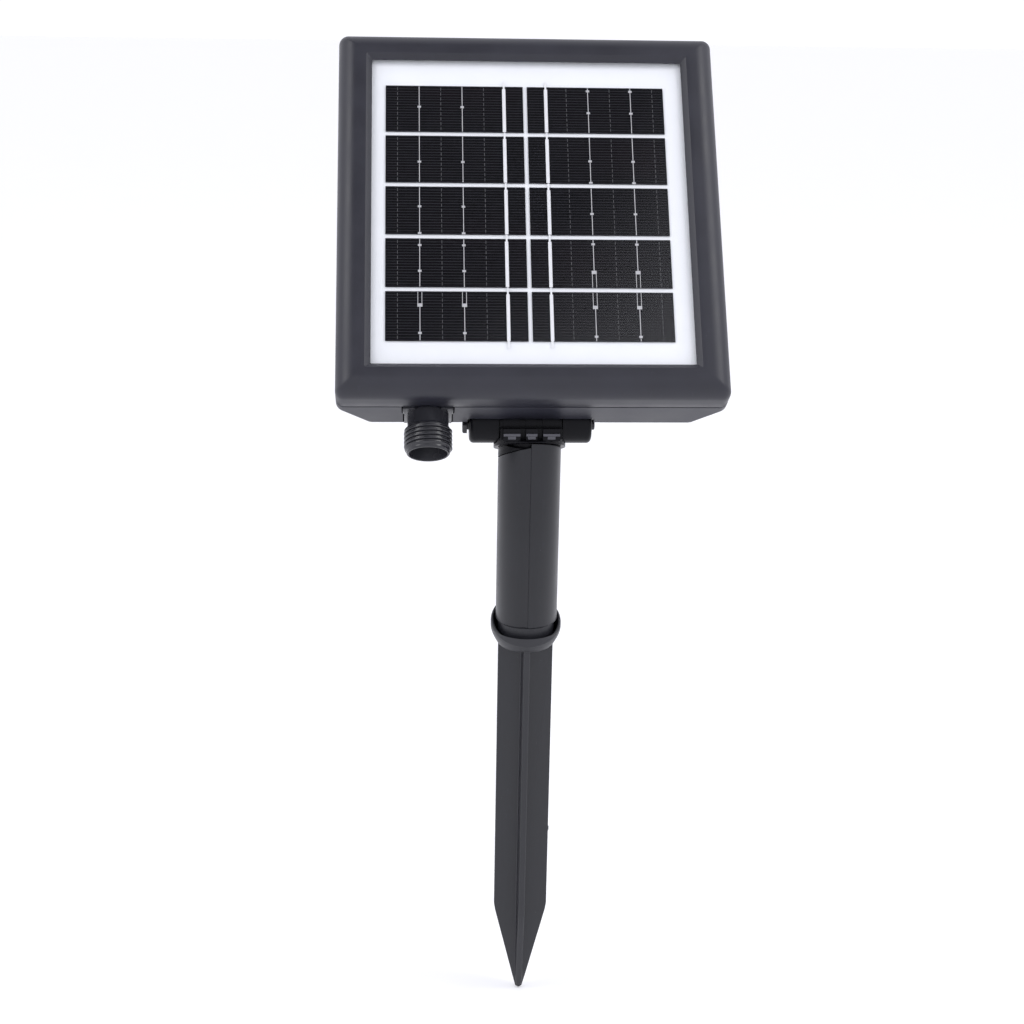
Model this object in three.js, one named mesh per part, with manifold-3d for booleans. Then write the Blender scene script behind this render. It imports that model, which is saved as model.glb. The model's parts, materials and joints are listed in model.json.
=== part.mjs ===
// Solar power unit of a garden fountain pump: a framed ten-cell panel housing with its
// battery, control board and threaded outlet, on a tilting bracket, a round pole and a
// ground stake.  Millimetres, +Z up.  The origin is on the pole axis at the soil line,
// where the stake blade leaves its collar.  The panel looks towards -Y and upwards.

import * as THREE from 'three';
import { mergeVertices } from 'three/addons/utils/BufferGeometryUtils.js';
import Module from 'manifold-3d';

const wasm = await Module();
wasm.setup();

// ---------------------------------------------------------------- driving dimensions

const GAP = 0.3;                  // air between two touching pieces
const ROUND = 28;                 // facets round a large cylinder
const SMALL_ROUND = 12;           // facets round a screw or a pin

// panel housing, in its own frame: x across, y up the panel, z out of the front face
const PANEL_W = 165;
const PANEL_H = 172.4;
const PANEL_TILT = THREE.MathUtils.degToRad(52.7);   // panel against the horizontal
const EDGE_R = 8;                 // rounding of the bezel's outer front edge
const CORNER_R = 3.7;             // corners of the housing seen from the front
const BEZEL_BACK = -15.5;         // rear edge of the bezel
const SHELL_FRONT = BEZEL_BACK - GAP;
const SHELL_TAPER_Z = -20;        // where the shell's sides start to slope in
const SHELL_BACK = -33.5;
const SHELL_INSET = 12;           // how far the slope comes in at the back
const WALL = 2.2;
const MID_Y = PANEL_H / 2;
const THROUGH = [-60, 10];        // z range that runs through the whole housing
const CORNER_SCREW_IN = 5.4;      // housing screws from the two walls of their corner
const CORNER_POST_R = 2.9;
const WELL_R = 3.4;               // well round a housing screw's head
const GASKET_W = 1.5;
const GASKET_Z = [SHELL_FRONT - 1.4, BEZEL_BACK + 1.6];

// window and the laminate behind it
const WINDOW_W = 135.6;
const WINDOW_H = 144.6;
const WINDOW_BEVEL = 2.4;         // width of the slope round the window
const WINDOW_DEPTH = 2.1;         // its depth
const LIP_BACK = -2.4;
const POCKET_EXTRA = 5;           // pocket past the window on each side
const POCKET_BACK = -5.0;
const COVER_W = 142.4;
const COVER_H = 151.4;
const COVER_Z = [-3.1, -2.7];
const RIBBON_Z = [-3.6, -3.4];
const CELL_Z = [-4.15, -3.9];
const BACKSHEET_Z = [-5.3, -4.45];
const SEAL_Z = [-4.3, -2.7];

// solar cells: two columns of five, a little left of the window's centre
const CELL_W = 59.85;
const CELL_H = 22.8;
const CELL_PITCH = 24.75;
const COLUMN_GAP = 1.8;
const ARRAY_X = -1.1;
const ARRAY_Y = 85.8;
const ROWS = 5;
const RIBBON_W = 1.5;
const RIBBON_INSET = 7.8;         // ribbon centre from the cell's inner edge
const RIBBON_OVERHANG = 3.4;

// threaded outlet in the bottom wall
const OUTLET_X = -43.9;
const OUTLET_Z = -22.8;
const OUTLET_LEN = 18.3;
const NECK_R = 8.7;
const NECK_LEN = 6.6;
const THREAD_R = 10.15;
const THREAD_ROOT_R = 9.2;
const THREAD_PITCH = 1.85;
const THREAD_TURNS = 5;
const OUTLET_BORE_R = 7.1;
const OUTLET_MOUTH_R = 8.1;       // wider bore from the mouth up to the level below
const OUTLET_MOUTH_Y = -8.4;
const OUTLET_STANDOFF = 0.35;     // the neck's overhang over the bezel wall
const PLATE_PROUD = 0.6;          // the plate stands out of the wall by this much
const PLATE_W = [21.3, 20.2];     // front and rear width of the slide-in plate
const PLATE_STEP_Z = -22.1;
const LIP_W = 23;                 // lip behind the wall that keeps the plate in
const PLATE_Z = [-32.2, SHELL_FRONT - GAP];
const INSERT_R = 6.7;
const INSERT_Y = [-6, 9];
const OUTLET_ROOM = 15.5;         // the housing seal passes this far round the outlet
const PIN_SPACING = 5.6;
const PIN_R = 0.8;
const PIN_Y = [-10.4, 12.5];

// tilt hinge
const HINGE_HEIGHT = 99.9;        // above the soil line
const AXIS_Y = 1.0;               // hinge axis in the panel's frame
const AXIS_Z = -37.2;
const EAR_R = 8.0;
const EAR_X = [13.6, 26.2];
const BRACKET_Z = [-36.8, SHELL_BACK - GAP];
const BRACKET_Y = [12, 44];
const SCOOP_R = 8.7;              // hollow in the shell that clears the ears
const SCOOP_HALF = 27;
const BOLT_ROOM_R = 5;            // narrower hollow past the scoop for the bolt's ends
const BOLT_ROOM_HALF = 29.8;
const BARREL_R = 7.6;
const BARREL_HALF = 13.2;
const BOLT_R = 2.4;
const NOSE_FRONT = 11.3;          // front of the head's nose, ahead of the hinge axis
const LUG_FRONT = 13.8;           // the three lugs stand further out
const LUG_TOP = [100.5, 101.6];   // the nose's top, 8.5 behind and at the lugs' front
const LUGS = [[-12, -4.8], [-2.4, 2.4], [4.8, 12]];
const LEDGE_PROUD = 0.6;          // the ledges stand out of the lugs

// head, pole and stake
const HEAD_R = 15.5;
const HEAD_TOP = 96.6;
const HEAD_RIM = 89.7;              // lower edge of the head's skirt at its sides
const OBLIQUE = 0.42;             // slope of the obliquely cut rims
const SIDE_RELIEF = 0.2;          // extra slope on the left half of the pole's top
const SIDE_STEP = 1.7;            // step down to that half
const SLEEVE_R = [13.5, 12.9];    // half sleeve of the head over that half, at its foot and top
const SLEEVE_Z = [87.5, 92.5];
const TUBE_R = 13.7;
const TUBE_BORE_R = 11.5;
const SPIGOT_R = 11.1;
const TUBE_BOTTOM = 10.9;
const HEAD_SPIGOT_LEN = 24;
const COLLAR_R = 15.6;
const COLLAR_BORE_R = 14.2;
const COLLAR_RIM = 10.4;
const STAKE_SPIGOT_TOP = 34;
const BLADE_W = 24.4;
const FIN_T = 3.1;
const BLADE_SHOULDER = -133.4;
const BLADE_TIP = -177.1;
const TIP_W = 2.7;

// inside the housing
const BATTERY_R = 9.2;
const BATTERY_LEN = 65;
const BATTERY_AT = [30, 118, -17.4];
const BOARD = [58, 34, 1.6];
const BOARD_AT = [-36, 60, -23];
const STANDOFF_R = 2.6;
const LEAD_R = 0.9;

// ---------------------------------------------------------------------- shape helpers

// a geometry's closed surface as a solid
function solid(geometry) {
  const bare = geometry.clone();
  bare.deleteAttribute('normal');
  bare.deleteAttribute('uv');
  const merged = mergeVertices(bare, 1e-4);
  const index = merged.index.array;
  const kept = [];
  for (let i = 0; i < index.length; i += 3) {
    const [a, b, c] = [index[i], index[i + 1], index[i + 2]];
    if (a !== b && b !== c && c !== a) kept.push(a, b, c);
  }
  return new wasm.Manifold(new wasm.Mesh({
    numProp: 3,
    vertProperties: new Float32Array(merged.attributes.position.array),
    triVerts: new Uint32Array(kept),
  }));
}

// a solid's surface as a flat-shaded geometry
function surface(body) {
  const mesh = body.getMesh();
  const geometry = new THREE.BufferGeometry();
  geometry.setAttribute('position', new THREE.BufferAttribute(mesh.vertProperties, 3));
  geometry.setIndex(new THREE.BufferAttribute(mesh.triVerts, 1));
  const flat = geometry.toNonIndexed();
  flat.computeVertexNormals();
  return flat;
}

function join(first, ...others) {
  return others.reduce((body, other) => body.add(other), first);
}

function cut(first, ...others) {
  return others.reduce((body, other) => body.subtract(other), first);
}

// block between two corners
function block(x, y, z) {
  const geometry = new THREE.BoxGeometry(x[1] - x[0], y[1] - y[0], z[1] - z[0]);
  geometry.translate((x[0] + x[1]) / 2, (y[0] + y[1]) / 2, (z[0] + z[1]) / 2);
  return solid(geometry);
}

// block given by its size and the middle of x and y
function slab(w, h, cx, cy, z) {
  return block([cx - w / 2, cx + w / 2], [cy - h / 2, cy + h / 2], z);
}

// cylinder along x, y or z from one value to another, through the point given
function rod(axis, radius, span, at, facets = ROUND) {
  const geometry = new THREE.CylinderGeometry(radius, radius, span[1] - span[0], facets);
  const middle = (span[0] + span[1]) / 2;
  if (axis === 'x') geometry.rotateZ(Math.PI / 2);
  if (axis === 'z') geometry.rotateX(Math.PI / 2);
  const place = {
    x: [middle, at[0], at[1]],
    y: [at[0], middle, at[1]],
    z: [at[0], at[1], middle],
  };
  geometry.translate(...place[axis]);
  return solid(geometry);
}

// turned solid: outline points are [radius, height], and the axis is z
function turned(outline, facets = ROUND) {
  const points = outline.map(([r, z]) => new THREE.Vector2(r, z));
  const geometry = new THREE.LatheGeometry(points, facets);
  geometry.rotateX(Math.PI / 2);
  return solid(geometry);
}

// rectangle with round corners, as a shape about its centre
function roundedRect(w, h, r) {
  const shape = new THREE.Shape();
  shape.moveTo(-w / 2 + r, -h / 2);
  shape.lineTo(w / 2 - r, -h / 2);
  shape.absarc(w / 2 - r, -h / 2 + r, r, -Math.PI / 2, 0);
  shape.lineTo(w / 2, h / 2 - r);
  shape.absarc(w / 2 - r, h / 2 - r, r, 0, Math.PI / 2);
  shape.lineTo(-w / 2 + r, h / 2);
  shape.absarc(-w / 2 + r, h / 2 - r, r, Math.PI / 2, Math.PI);
  shape.lineTo(-w / 2, -h / 2 + r);
  shape.absarc(-w / 2 + r, -h / 2 + r, r, Math.PI, 1.5 * Math.PI);
  return shape;
}

function polygon(points) {
  return new THREE.Shape(points.map(([x, y]) => new THREE.Vector2(x, y)));
}

function prism(shape, z, options = {}) {
  const geometry = new THREE.ExtrudeGeometry(shape, {
    depth: z[1] - z[0], bevelEnabled: false, curveSegments: 4, ...options,
  });
  geometry.translate(0, 0, z[0]);
  return geometry;
}

// prism whose shape lies in the (y, z) plane and runs along x
function prismX(points, x) {
  const geometry = prism(polygon(points), [0, x[1] - x[0]]);
  geometry.applyMatrix4(new THREE.Matrix4().set(0, 0, 1, x[0], 1, 0, 0, 0, 0, 1, 0, 0, 0, 0, 0, 1));
  return solid(geometry);
}

// round lead along a smooth line
function lead(points) {
  const path = new THREE.CatmullRomCurve3(points.map((p) => new THREE.Vector3(...p)));
  const section = new THREE.Shape();
  section.absarc(0, 0, LEAD_R, 0, 2 * Math.PI);
  return new THREE.ExtrudeGeometry(section, { steps: 12, curveSegments: 3, extrudePath: path });
}

// cross-recess screw along +z, with its head's rim at z = 0 and the recess on the -z side
function screw(headR, headT, shankR, length) {
  const body = turned([
    [0, -headT], [headR * 0.72, -headT], [headR, -headT * 0.45], [headR, 0],
    [shankR, 0], [shankR, length - shankR], [shankR * 0.3, length], [0, length],
  ], SMALL_ROUND);
  const arm = headR * 0.62;
  const slot = headR * 0.16;
  const depth = [-headT - 1, -headT * 0.45];
  const across = block([-arm, arm], [-slot, slot], depth);
  const upright = block([-slot, slot], [-arm, arm], depth);
  return cut(body, across, upright);
}

// ------------------------------------------------------------------------- materials

function plastic(color, roughness) {
  return new THREE.MeshStandardMaterial({ color, roughness, metalness: 0 });
}

function metal(color, roughness) {
  return new THREE.MeshStandardMaterial({ color, roughness, metalness: 1 });
}

const finish = {
  housing: plastic(0x4a4b50, 0.5),
  shell: plastic(0x4c4d52, 0.55),
  smooth: plastic(0x26272b, 0.4),
  pole: plastic(0x3c3d41, 0.42),
  stake: plastic(0x3a3b40, 0.5),
  cover: new THREE.MeshStandardMaterial({
    color: 0xf4f8fa, roughness: 0.05, metalness: 0, transparent: true, opacity: 0.2,
  }),
  cell: plastic(0x07080d, 0.25),
  backsheet: plastic(0xeef1f4, 0.6),
  rubber: plastic(0x1b1b1d, 0.8),
  tinned: metal(0xd8dade, 0.3),
  steel: metal(0xaeb1b5, 0.35),
  brass: metal(0xc9a45a, 0.3),
  board: plastic(0x1e5a34, 0.45),
  chip: plastic(0x17181a, 0.5),
  battery: plastic(0x2b5fa8, 0.4),
  redLead: plastic(0xa81f1c, 0.5),
  blackLead: plastic(0x151516, 0.5),
};

function piece(name, shape, material) {
  const geometry = shape.isBufferGeometry ? shape : surface(shape);
  const mesh = new THREE.Mesh(geometry, material);
  mesh.name = name;
  return mesh;
}

// -------------------------------------------------------------------- panel: the bezel

function windowCut() {
  const straight = slab(WINDOW_W, WINDOW_H, 0, MID_Y, [LIP_BACK - 1, 1]);
  const flare = prism(roundedRect(WINDOW_W, WINDOW_H, 0.5), [0, 1], {
    bevelEnabled: true,
    bevelSegments: 1,
    bevelSize: WINDOW_BEVEL,
    bevelThickness: WINDOW_DEPTH,
    curveSegments: 1,
  });
  flare.translate(0, MID_Y, 0);
  return join(straight, solid(flare));
}

function bezelPost(x, y) {
  return rod('z', CORNER_POST_R, [BEZEL_BACK + 0.7, -4.5], [x, y], SMALL_ROUND);
}

// centres of the four housing screws
function cornerPoints() {
  const side = PANEL_W / 2 - CORNER_SCREW_IN;
  const ends = [CORNER_SCREW_IN, PANEL_H - CORNER_SCREW_IN];
  return ends.flatMap((y) => [[-side, y], [side, y]]);
}

// block with a quarter-round front edge and mitred corners
function bezelDome() {
  const depth = 20;
  const dome = prism(roundedRect(PANEL_W - 2 * EDGE_R, PANEL_H - 2 * EDGE_R, 0.01), [0, depth], {
    bevelEnabled: true,
    bevelSegments: 6,
    bevelSize: EDGE_R,
    bevelThickness: EDGE_R,
    curveSegments: 1,
  });
  dome.translate(0, MID_Y, -depth - EDGE_R);
  return solid(dome);
}

function frontBezel() {
  const outline = prism(roundedRect(PANEL_W, PANEL_H, CORNER_R), [BEZEL_BACK, 1]);
  outline.translate(0, MID_Y, 0);
  const body = bezelDome().intersect(solid(outline));
  const [pocketW, pocketH] = [WINDOW_W, WINDOW_H].map((size) => size + 2 * POCKET_EXTRA);
  const pocket = slab(pocketW, pocketH, 0, MID_Y, [POCKET_BACK - 1, LIP_BACK]);
  const inside = roundedRect(PANEL_W - 2 * WALL, PANEL_H - 2 * WALL, 1.5);
  const hollow = prism(inside, [BEZEL_BACK - 1, POCKET_BACK]);
  hollow.translate(0, MID_Y, 0);
  const shellOfBezel = cut(body, windowCut(), pocket, solid(hollow));
  const posts = cornerPoints().map(([x, y]) => bezelPost(x, y));
  const pilots = cornerPoints().map(([x, y]) => rod('z', 1.5, [BEZEL_BACK - 1, -6.5], [x, y], 8));
  return cut(join(shellOfBezel, ...posts), ...pilots);
}

// --------------------------------------------------------------- panel: the rear shell

// outline of the shell across the panel, moved in by the inset given
function shellSection(inset) {
  const side = PANEL_W / 2 - inset;
  const slope = inset * 0.45;
  const back = SHELL_BACK + inset;
  const front = SHELL_FRONT + (inset > 0 ? 2 : 0);
  return [
    [-side, front], [side, front], [side, SHELL_TAPER_Z + slope],
    [side - SHELL_INSET + slope, back], [-side + SHELL_INSET - slope, back],
    [-side, SHELL_TAPER_Z + slope],
  ].reverse();
}

function shellBlock(inset) {
  const geometry = prism(polygon(shellSection(inset)), [inset, PANEL_H - inset]);
  // the section's second coordinate becomes z and the extrusion runs up the panel
  geometry.applyMatrix4(new THREE.Matrix4().set(1, 0, 0, 0, 0, 0, 1, 0, 0, 1, 0, 0, 0, 0, 0, 1));
  return flipped(geometry);
}

// solid of a geometry that a mirror has turned inside out
function flipped(geometry) {
  const position = geometry.attributes.position;
  for (let i = 0; i < position.count; i += 3) {
    const keep = [position.getX(i), position.getY(i), position.getZ(i)];
    position.setXYZ(i, position.getX(i + 1), position.getY(i + 1), position.getZ(i + 1));
    position.setXYZ(i + 1, ...keep);
  }
  return solid(geometry);
}

// wedge that slopes the top of the shell in, moved in by the inset given
function topWedge(inset) {
  const top = PANEL_H - inset;
  const back = SHELL_BACK + inset;
  const start = SHELL_TAPER_Z + inset * 0.45;
  const reach = SHELL_INSET - inset * 0.45;
  const run = start - back;
  return prismX([
    [top, start], [top - reach * (1 + 4 / run), back - 4], [top + 10, back - 4], [top + 10, start],
  ], [-PANEL_W, PANEL_W]);
}

function boss(x, y, radius, z) {
  return rod('z', radius, z, [x, y], SMALL_ROUND);
}

function bracketScrewPoints() {
  return [[-20, 27], [20, 27], [-20, 39], [20, 39]];
}

function outletNotch() {
  const [wide, narrow] = PLATE_W.map((w) => w / 2 + GAP);
  return join(
    block([OUTLET_X - wide, OUTLET_X + wide], [-1, WALL + 1], [PLATE_STEP_Z, SHELL_FRONT + 1]),
    block([OUTLET_X - narrow, OUTLET_X + narrow], [-1, WALL + 1], [PLATE_Z[0] - GAP, PLATE_STEP_Z + 0.5]),
  );
}

// hollow round the hinge axis, grown by the thickness given
function scoopShape(grow) {
  const axis = [AXIS_Y, AXIS_Z];
  return join(
    rod('x', SCOOP_R + grow, [-SCOOP_HALF - grow, SCOOP_HALF + grow], axis),
    rod('x', BOLT_ROOM_R + grow, [-BOLT_ROOM_HALF - grow, BOLT_ROOM_HALF + grow], axis),
  );
}

// what stands inside the shell: screw corners, bracket pads and the board's stands
function shellBosses(outer) {
  const corners = cornerPoints().map(([x, y]) => (
    boss(x, y, CORNER_POST_R, [SHELL_TAPER_Z - 5, SHELL_FRONT - 0.5]).intersect(outer)
  ));
  const pads = bracketScrewPoints().map(([x, y]) => (
    boss(x, y, WELL_R, [SHELL_BACK + 1, SHELL_BACK + 8])
  ));
  const stands = boardScrewPoints().map(([x, y]) => (
    boss(x, y, STANDOFF_R, [SHELL_BACK + 1, BOARD_AT[2] - 1.1])
  ));
  return [...corners, ...pads, ...stands];
}

// holes of the shell's screws, with a well round each housing screw
function shellHoles() {
  const hole = (radius, z, facets) => ([x, y]) => rod('z', radius, z, [x, y], facets);
  return [
    ...cornerPoints().map(hole(WELL_R, [SHELL_BACK - 1, SHELL_TAPER_Z - 2], SMALL_ROUND)),
    ...cornerPoints().map(hole(1.9, [SHELL_BACK, SHELL_FRONT + 1], 8)),
    ...bracketScrewPoints().map(hole(1.8, [SHELL_BACK - 1, SHELL_BACK + 6.5], 8)),
    ...boardScrewPoints().map(hole(1.3, [SHELL_BACK + 3, BOARD_AT[2]], 8)),
  ];
}

function rearShell() {
  const frame = prism(roundedRect(PANEL_W, PANEL_H, CORNER_R), [SHELL_BACK - 1, SHELL_FRONT]);
  frame.translate(0, MID_Y, 0);
  const outer = cut(shellBlock(0), topWedge(0)).intersect(solid(frame));
  const inner = cut(shellBlock(WALL), topWedge(WALL));
  const scoopWall = scoopShape(WALL).intersect(outer);
  const filled = join(cut(outer, inner), scoopWall, ...shellBosses(outer));
  return cut(filled, scoopShape(0), outletNotch(), ...shellHoles());
}

function housingGasket() {
  const [w, h] = [PANEL_W - 2 * WALL - 1, PANEL_H - 2 * WALL - 1];
  const outer = slab(w, h, 0, MID_Y, GASKET_Z);
  const inner = slab(w - 2 * GASKET_W, h - 2 * GASKET_W, 0, MID_Y, THROUGH);
  const corners = cornerPoints().map(([x, y]) => slab(11.5, 11.5, x, y, THROUGH));
  const ring = cut(outer, inner, outletRoom(OUTLET_ROOM - GASKET_W), ...corners);
  const around = cut(outletRoom(OUTLET_ROOM), outletRoom(OUTLET_ROOM - GASKET_W));
  const bridge = around.intersect(slab(w, h - 1, 0, MID_Y, GASKET_Z));
  const bends = cornerPoints().map(([x, y]) => cornerBend(x, y));
  const posts = cornerPoints().map(([x, y]) => rod('z', WELL_R, THROUGH, [x, y], SMALL_ROUND));
  return cut(join(ring, bridge, ...bends), ...posts);
}

// space round the inner end of the outlet, to this distance each side of its axis
function outletRoom(half) {
  return block([OUTLET_X - half, OUTLET_X + half], [-5, half], THROUGH);
}

// the seal passes each corner screw on its inner side
function cornerBend(x, y) {
  const [inX, inY] = [x > 0 ? -1 : 1, y < MID_Y ? 1 : -1];
  const span = (a, b) => [Math.min(a, b), Math.max(a, b)];
  const [nearX, nearY] = [x + inX * 4.6, y + inY * 4.6];
  const [farX, farY] = [nearX + inX * GASKET_W, nearY + inY * GASKET_W];
  const [wallX, wallY] = [x - inX * 2.7, y - inY * 2.7];
  return join(
    block(span(nearX, farX), span(wallY, farY), GASKET_Z),
    block(span(wallX, farX), span(nearY, farY), GASKET_Z),
  );
}

// ------------------------------------------------------------------ panel: the laminate

function coverSeal() {
  const reach = 2 * POCKET_EXTRA - 2 * GAP;
  const outer = slab(WINDOW_W + reach, WINDOW_H + reach, 0, MID_Y, SEAL_Z);
  return cut(outer, slab(COVER_W + 2 * GAP, COVER_H + 2 * GAP, 0, MID_Y, THROUGH));
}

function cellCentre(column, row) {
  const side = column === 'left' ? -1 : 1;
  const x = ARRAY_X + side * (CELL_W + COLUMN_GAP) / 2;
  return [x, ARRAY_Y + ((ROWS - 1) / 2 - row) * CELL_PITCH];
}

function laminate() {
  const pieces = [
    piece('clear_cover', slab(COVER_W, COVER_H, 0, MID_Y, COVER_Z), finish.cover),
    piece('cover_seal', coverSeal(), finish.rubber),
    piece('cell_backsheet', slab(COVER_W, COVER_H, 0, MID_Y, BACKSHEET_Z), finish.backsheet),
  ];
  for (const column of ['left', 'right']) {
    for (let row = 0; row < ROWS; row += 1) {
      const [x, y] = cellCentre(column, row);
      pieces.push(piece(`cell_${column}_${row + 1}`, slab(CELL_W, CELL_H, x, y, CELL_Z), finish.cell));
    }
    const side = column === 'left' ? -1 : 1;
    const x = ARRAY_X + side * (COLUMN_GAP / 2 + RIBBON_INSET);
    const length = ROWS * CELL_PITCH + 2 * RIBBON_OVERHANG;
    const ribbon = slab(RIBBON_W, length, x, ARRAY_Y, RIBBON_Z);
    pieces.push(piece(`cell_ribbon_${column}`, ribbon, finish.tinned));
  }
  return pieces;
}

// -------------------------------------------------------------------- panel: the outlet

// outline of the threaded barrel, [radius, distance below the wall]
function threadOutline() {
  const points = [[0, OUTLET_STANDOFF], [NECK_R, OUTLET_STANDOFF], [NECK_R, NECK_LEN]];
  points.push([THREAD_ROOT_R, NECK_LEN + 0.6]);
  for (let turn = 0; turn < THREAD_TURNS; turn += 1) {
    const start = NECK_LEN + 1 + turn * THREAD_PITCH;
    points.push([THREAD_ROOT_R, start], [THREAD_R, start + 0.7], [THREAD_R, start + 1.0]);
  }
  points.push([THREAD_ROOT_R, OUTLET_LEN - 1.4], [THREAD_ROOT_R - 0.5, OUTLET_LEN]);
  points.push([0, OUTLET_LEN]);
  return points;
}

// the threaded barrel about the outlet's axis, pointing down the panel
function outletBarrel() {
  const points = threadOutline().map(([r, y]) => new THREE.Vector2(r, y));
  const geometry = new THREE.LatheGeometry(points, 24);
  geometry.rotateX(Math.PI);
  geometry.translate(OUTLET_X, 0, OUTLET_Z);
  return solid(geometry);
}

function outletSocket() {
  const at = [OUTLET_X, OUTLET_Z];
  const x = (w) => [OUTLET_X - w / 2, OUTLET_X + w / 2];
  const plateY = [-PLATE_PROUD, WALL + 0.8];
  const lipZ = [SHELL_BACK + WALL + GAP, SHELL_FRONT - GAP];
  const body = join(
    outletBarrel(),
    block(x(PLATE_W[0]), plateY, [PLATE_STEP_Z + GAP, PLATE_Z[1]]),
    block(x(PLATE_W[1]), plateY, [PLATE_Z[0], PLATE_STEP_Z + 1]),
    block(x(LIP_W), [WALL + GAP, WALL + 1.9], lipZ),
    rod('y', 7.9, [WALL + 0.6, 10], at, 24),
  );
  const mouth = rod('y', OUTLET_MOUTH_R, [-OUTLET_LEN - 1, OUTLET_MOUTH_Y], at, 24);
  return cut(body, rod('y', OUTLET_BORE_R, [-OUTLET_LEN - 1, 11], at, 20), mouth);
}

function pinX(side) {
  return OUTLET_X + side * PIN_SPACING / 2;
}

function outletPieces() {
  const holes = [-1, 1].map((side) => rod('y', PIN_R + GAP, [-20, 20], [pinX(side), OUTLET_Z], 8));
  const insert = cut(rod('y', INSERT_R, INSERT_Y, [OUTLET_X, OUTLET_Z], 20), ...holes);
  const ring = new THREE.TorusGeometry(5.75, 0.6, 6, 16);
  ring.rotateX(Math.PI / 2);
  ring.translate(OUTLET_X, INSERT_Y[0] - 1.2, OUTLET_Z);
  return [
    piece('outlet_socket', outletSocket(), finish.smooth),
    piece('outlet_insert', insert, finish.chip),
    piece('outlet_seal_ring', solid(ring), finish.rubber),
    ...[-1, 1].map((side, i) => piece(
      `outlet_pin_${i + 1}`, rod('y', PIN_R, PIN_Y, [pinX(side), OUTLET_Z], 8), finish.brass,
    )),
  ];
}

// ----------------------------------------------------------- panel: battery, board, leads

function boardScrewPoints() {
  const [w, h] = BOARD;
  const [x, y] = BOARD_AT;
  return [-1, 1].map((side) => [x + side * (w / 2 - 4), y + side * (h / 2 - 4)]);
}

function batteryCradle() {
  const [x, y, z] = BATTERY_AT;
  const half = BATTERY_LEN / 2 + GAP;
  const baseZ = [SHELL_BACK + WALL + GAP, z + 2];
  const base = block([x - half - 2, x + half + 2], [y - 10.5, y + 10.5], baseZ);
  const bed = rod('x', BATTERY_R + GAP, [x - half, x + half], [y, z], 24);
  const side = BATTERY_R + GAP;
  const room = block([x - half, x + half], [y - side, y + side], [z, z + 20]);
  return cut(base, bed, room);
}

function batteryCell() {
  const [x, y, z] = BATTERY_AT;
  const half = BATTERY_LEN / 2;
  const geometry = new THREE.LatheGeometry([
    [0, -half], [BATTERY_R - 0.6, -half], [BATTERY_R, -half + 0.6], [BATTERY_R, half - 3],
    [BATTERY_R - 0.5, half - 2.4], [BATTERY_R, half - 1.8], [BATTERY_R - 0.6, half - 1.2],
    [3, half - 1.2], [3, half], [0, half],
  ].map(([r, l]) => new THREE.Vector2(r, l)), 20);
  geometry.rotateZ(-Math.PI / 2);
  geometry.translate(x, y, z);
  return solid(geometry);
}

function controlBoard() {
  const [w, h, t] = BOARD;
  const [x, y, z] = BOARD_AT;
  const holes = boardScrewPoints().map(([hx, hy]) => rod('z', 1.6, THROUGH, [hx, hy], 10));
  return cut(slab(w, h, x, y, [z - t / 2, z + t / 2]), ...holes);
}

function boardParts() {
  const [x, y, z] = BOARD_AT;
  const top = z + BOARD[2] / 2 + GAP;
  const coil = join(
    rod('z', 4.2, [top, top + 5], [x + 12, y - 6], 14),
    slab(10, 10, x + 12, y - 6, [top, top + 0.9]),
  );
  const can = rod('z', 3.1, [top, top + 8], [x + 2, y - 9], 14);
  const plug = (cx, cy) => cut(
    slab(7.5, 5.6, cx, cy, [top, top + 6]),
    slab(5.9, 4, cx, cy, [top + 1.4, top + 7]),
  );
  return [
    piece('board_chip', slab(6, 5, x - 8, y + 4, [top, top + 1.6]), finish.chip),
    piece('board_coil', coil, finish.chip),
    piece('board_capacitor', can, finish.steel),
    piece('board_plug_battery', plug(x + 15.5, y + 12.5), finish.backsheet),
    piece('board_plug_panel', plug(x, y + 12), finish.backsheet),
    piece('board_plug_outlet', plug(x - 8, y - 11), finish.backsheet),
  ];
}

function boardScrews() {
  return boardScrewPoints().map(([x, y], i) => {
    const mesh = piece(`board_screw_${i + 1}`, screw(2.4, 1.5, 1.0, 6), finish.steel);
    mesh.rotation.x = Math.PI;
    mesh.position.set(x, y, BOARD_AT[2] + BOARD[2] / 2 + GAP);
    return mesh;
  });
}

// height of a lead's end inside a board plug
function plugFloor() {
  return BOARD_AT[2] + BOARD[2] / 2 + GAP + 1.4 + GAP + LEAD_R;
}

function batteryLeads() {
  const [bx, by, bz] = BATTERY_AT;
  const [x, y] = BOARD_AT;
  const top = plugFloor();
  const end = BATTERY_LEN / 2;
  const red = lead([
    [bx + end + 3.2, by, bz], [bx + end + 6, by - 3, bz], [bx + end + 4, by - 24, bz - 2],
    [30, 84, -20], [x + 32, y + 20, top + 6], [x + 17.1, y + 13, top + 9],
    [x + 16.8, y + 12.5, top + 5], [x + 16.8, y + 12.5, top],
  ]);
  const black = lead([
    [bx - end - 3.2, by, bz], [bx - end - 6, by - 3, bz], [bx - end - 6, by - 18, bz - 1],
    [x + 20, y + 26, top + 6], [x + 14.4, y + 14, top + 8], [x + 14.1, y + 12.5, top + 4],
    [x + 14.1, y + 12.5, top],
  ]);
  return [red, black];
}

// lead from the cells' solder tab down to the board, on one side of the plug's middle
function panelLead(side) {
  const [x, y] = BOARD_AT;
  const top = plugFloor();
  const tab = BACKSHEET_Z[0] - GAP - LEAD_R;
  return lead([
    [x + side * 6, y + 44, tab], [x + side * 6, y + 42, tab - 1.6], [x + side * 6, y + 32, -13],
    [x + side * 2, y + 16, top + 9], [x + side * 1.4, y + 12, top + 5], [x + side * 1.4, y + 12, top],
  ]);
}

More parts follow.
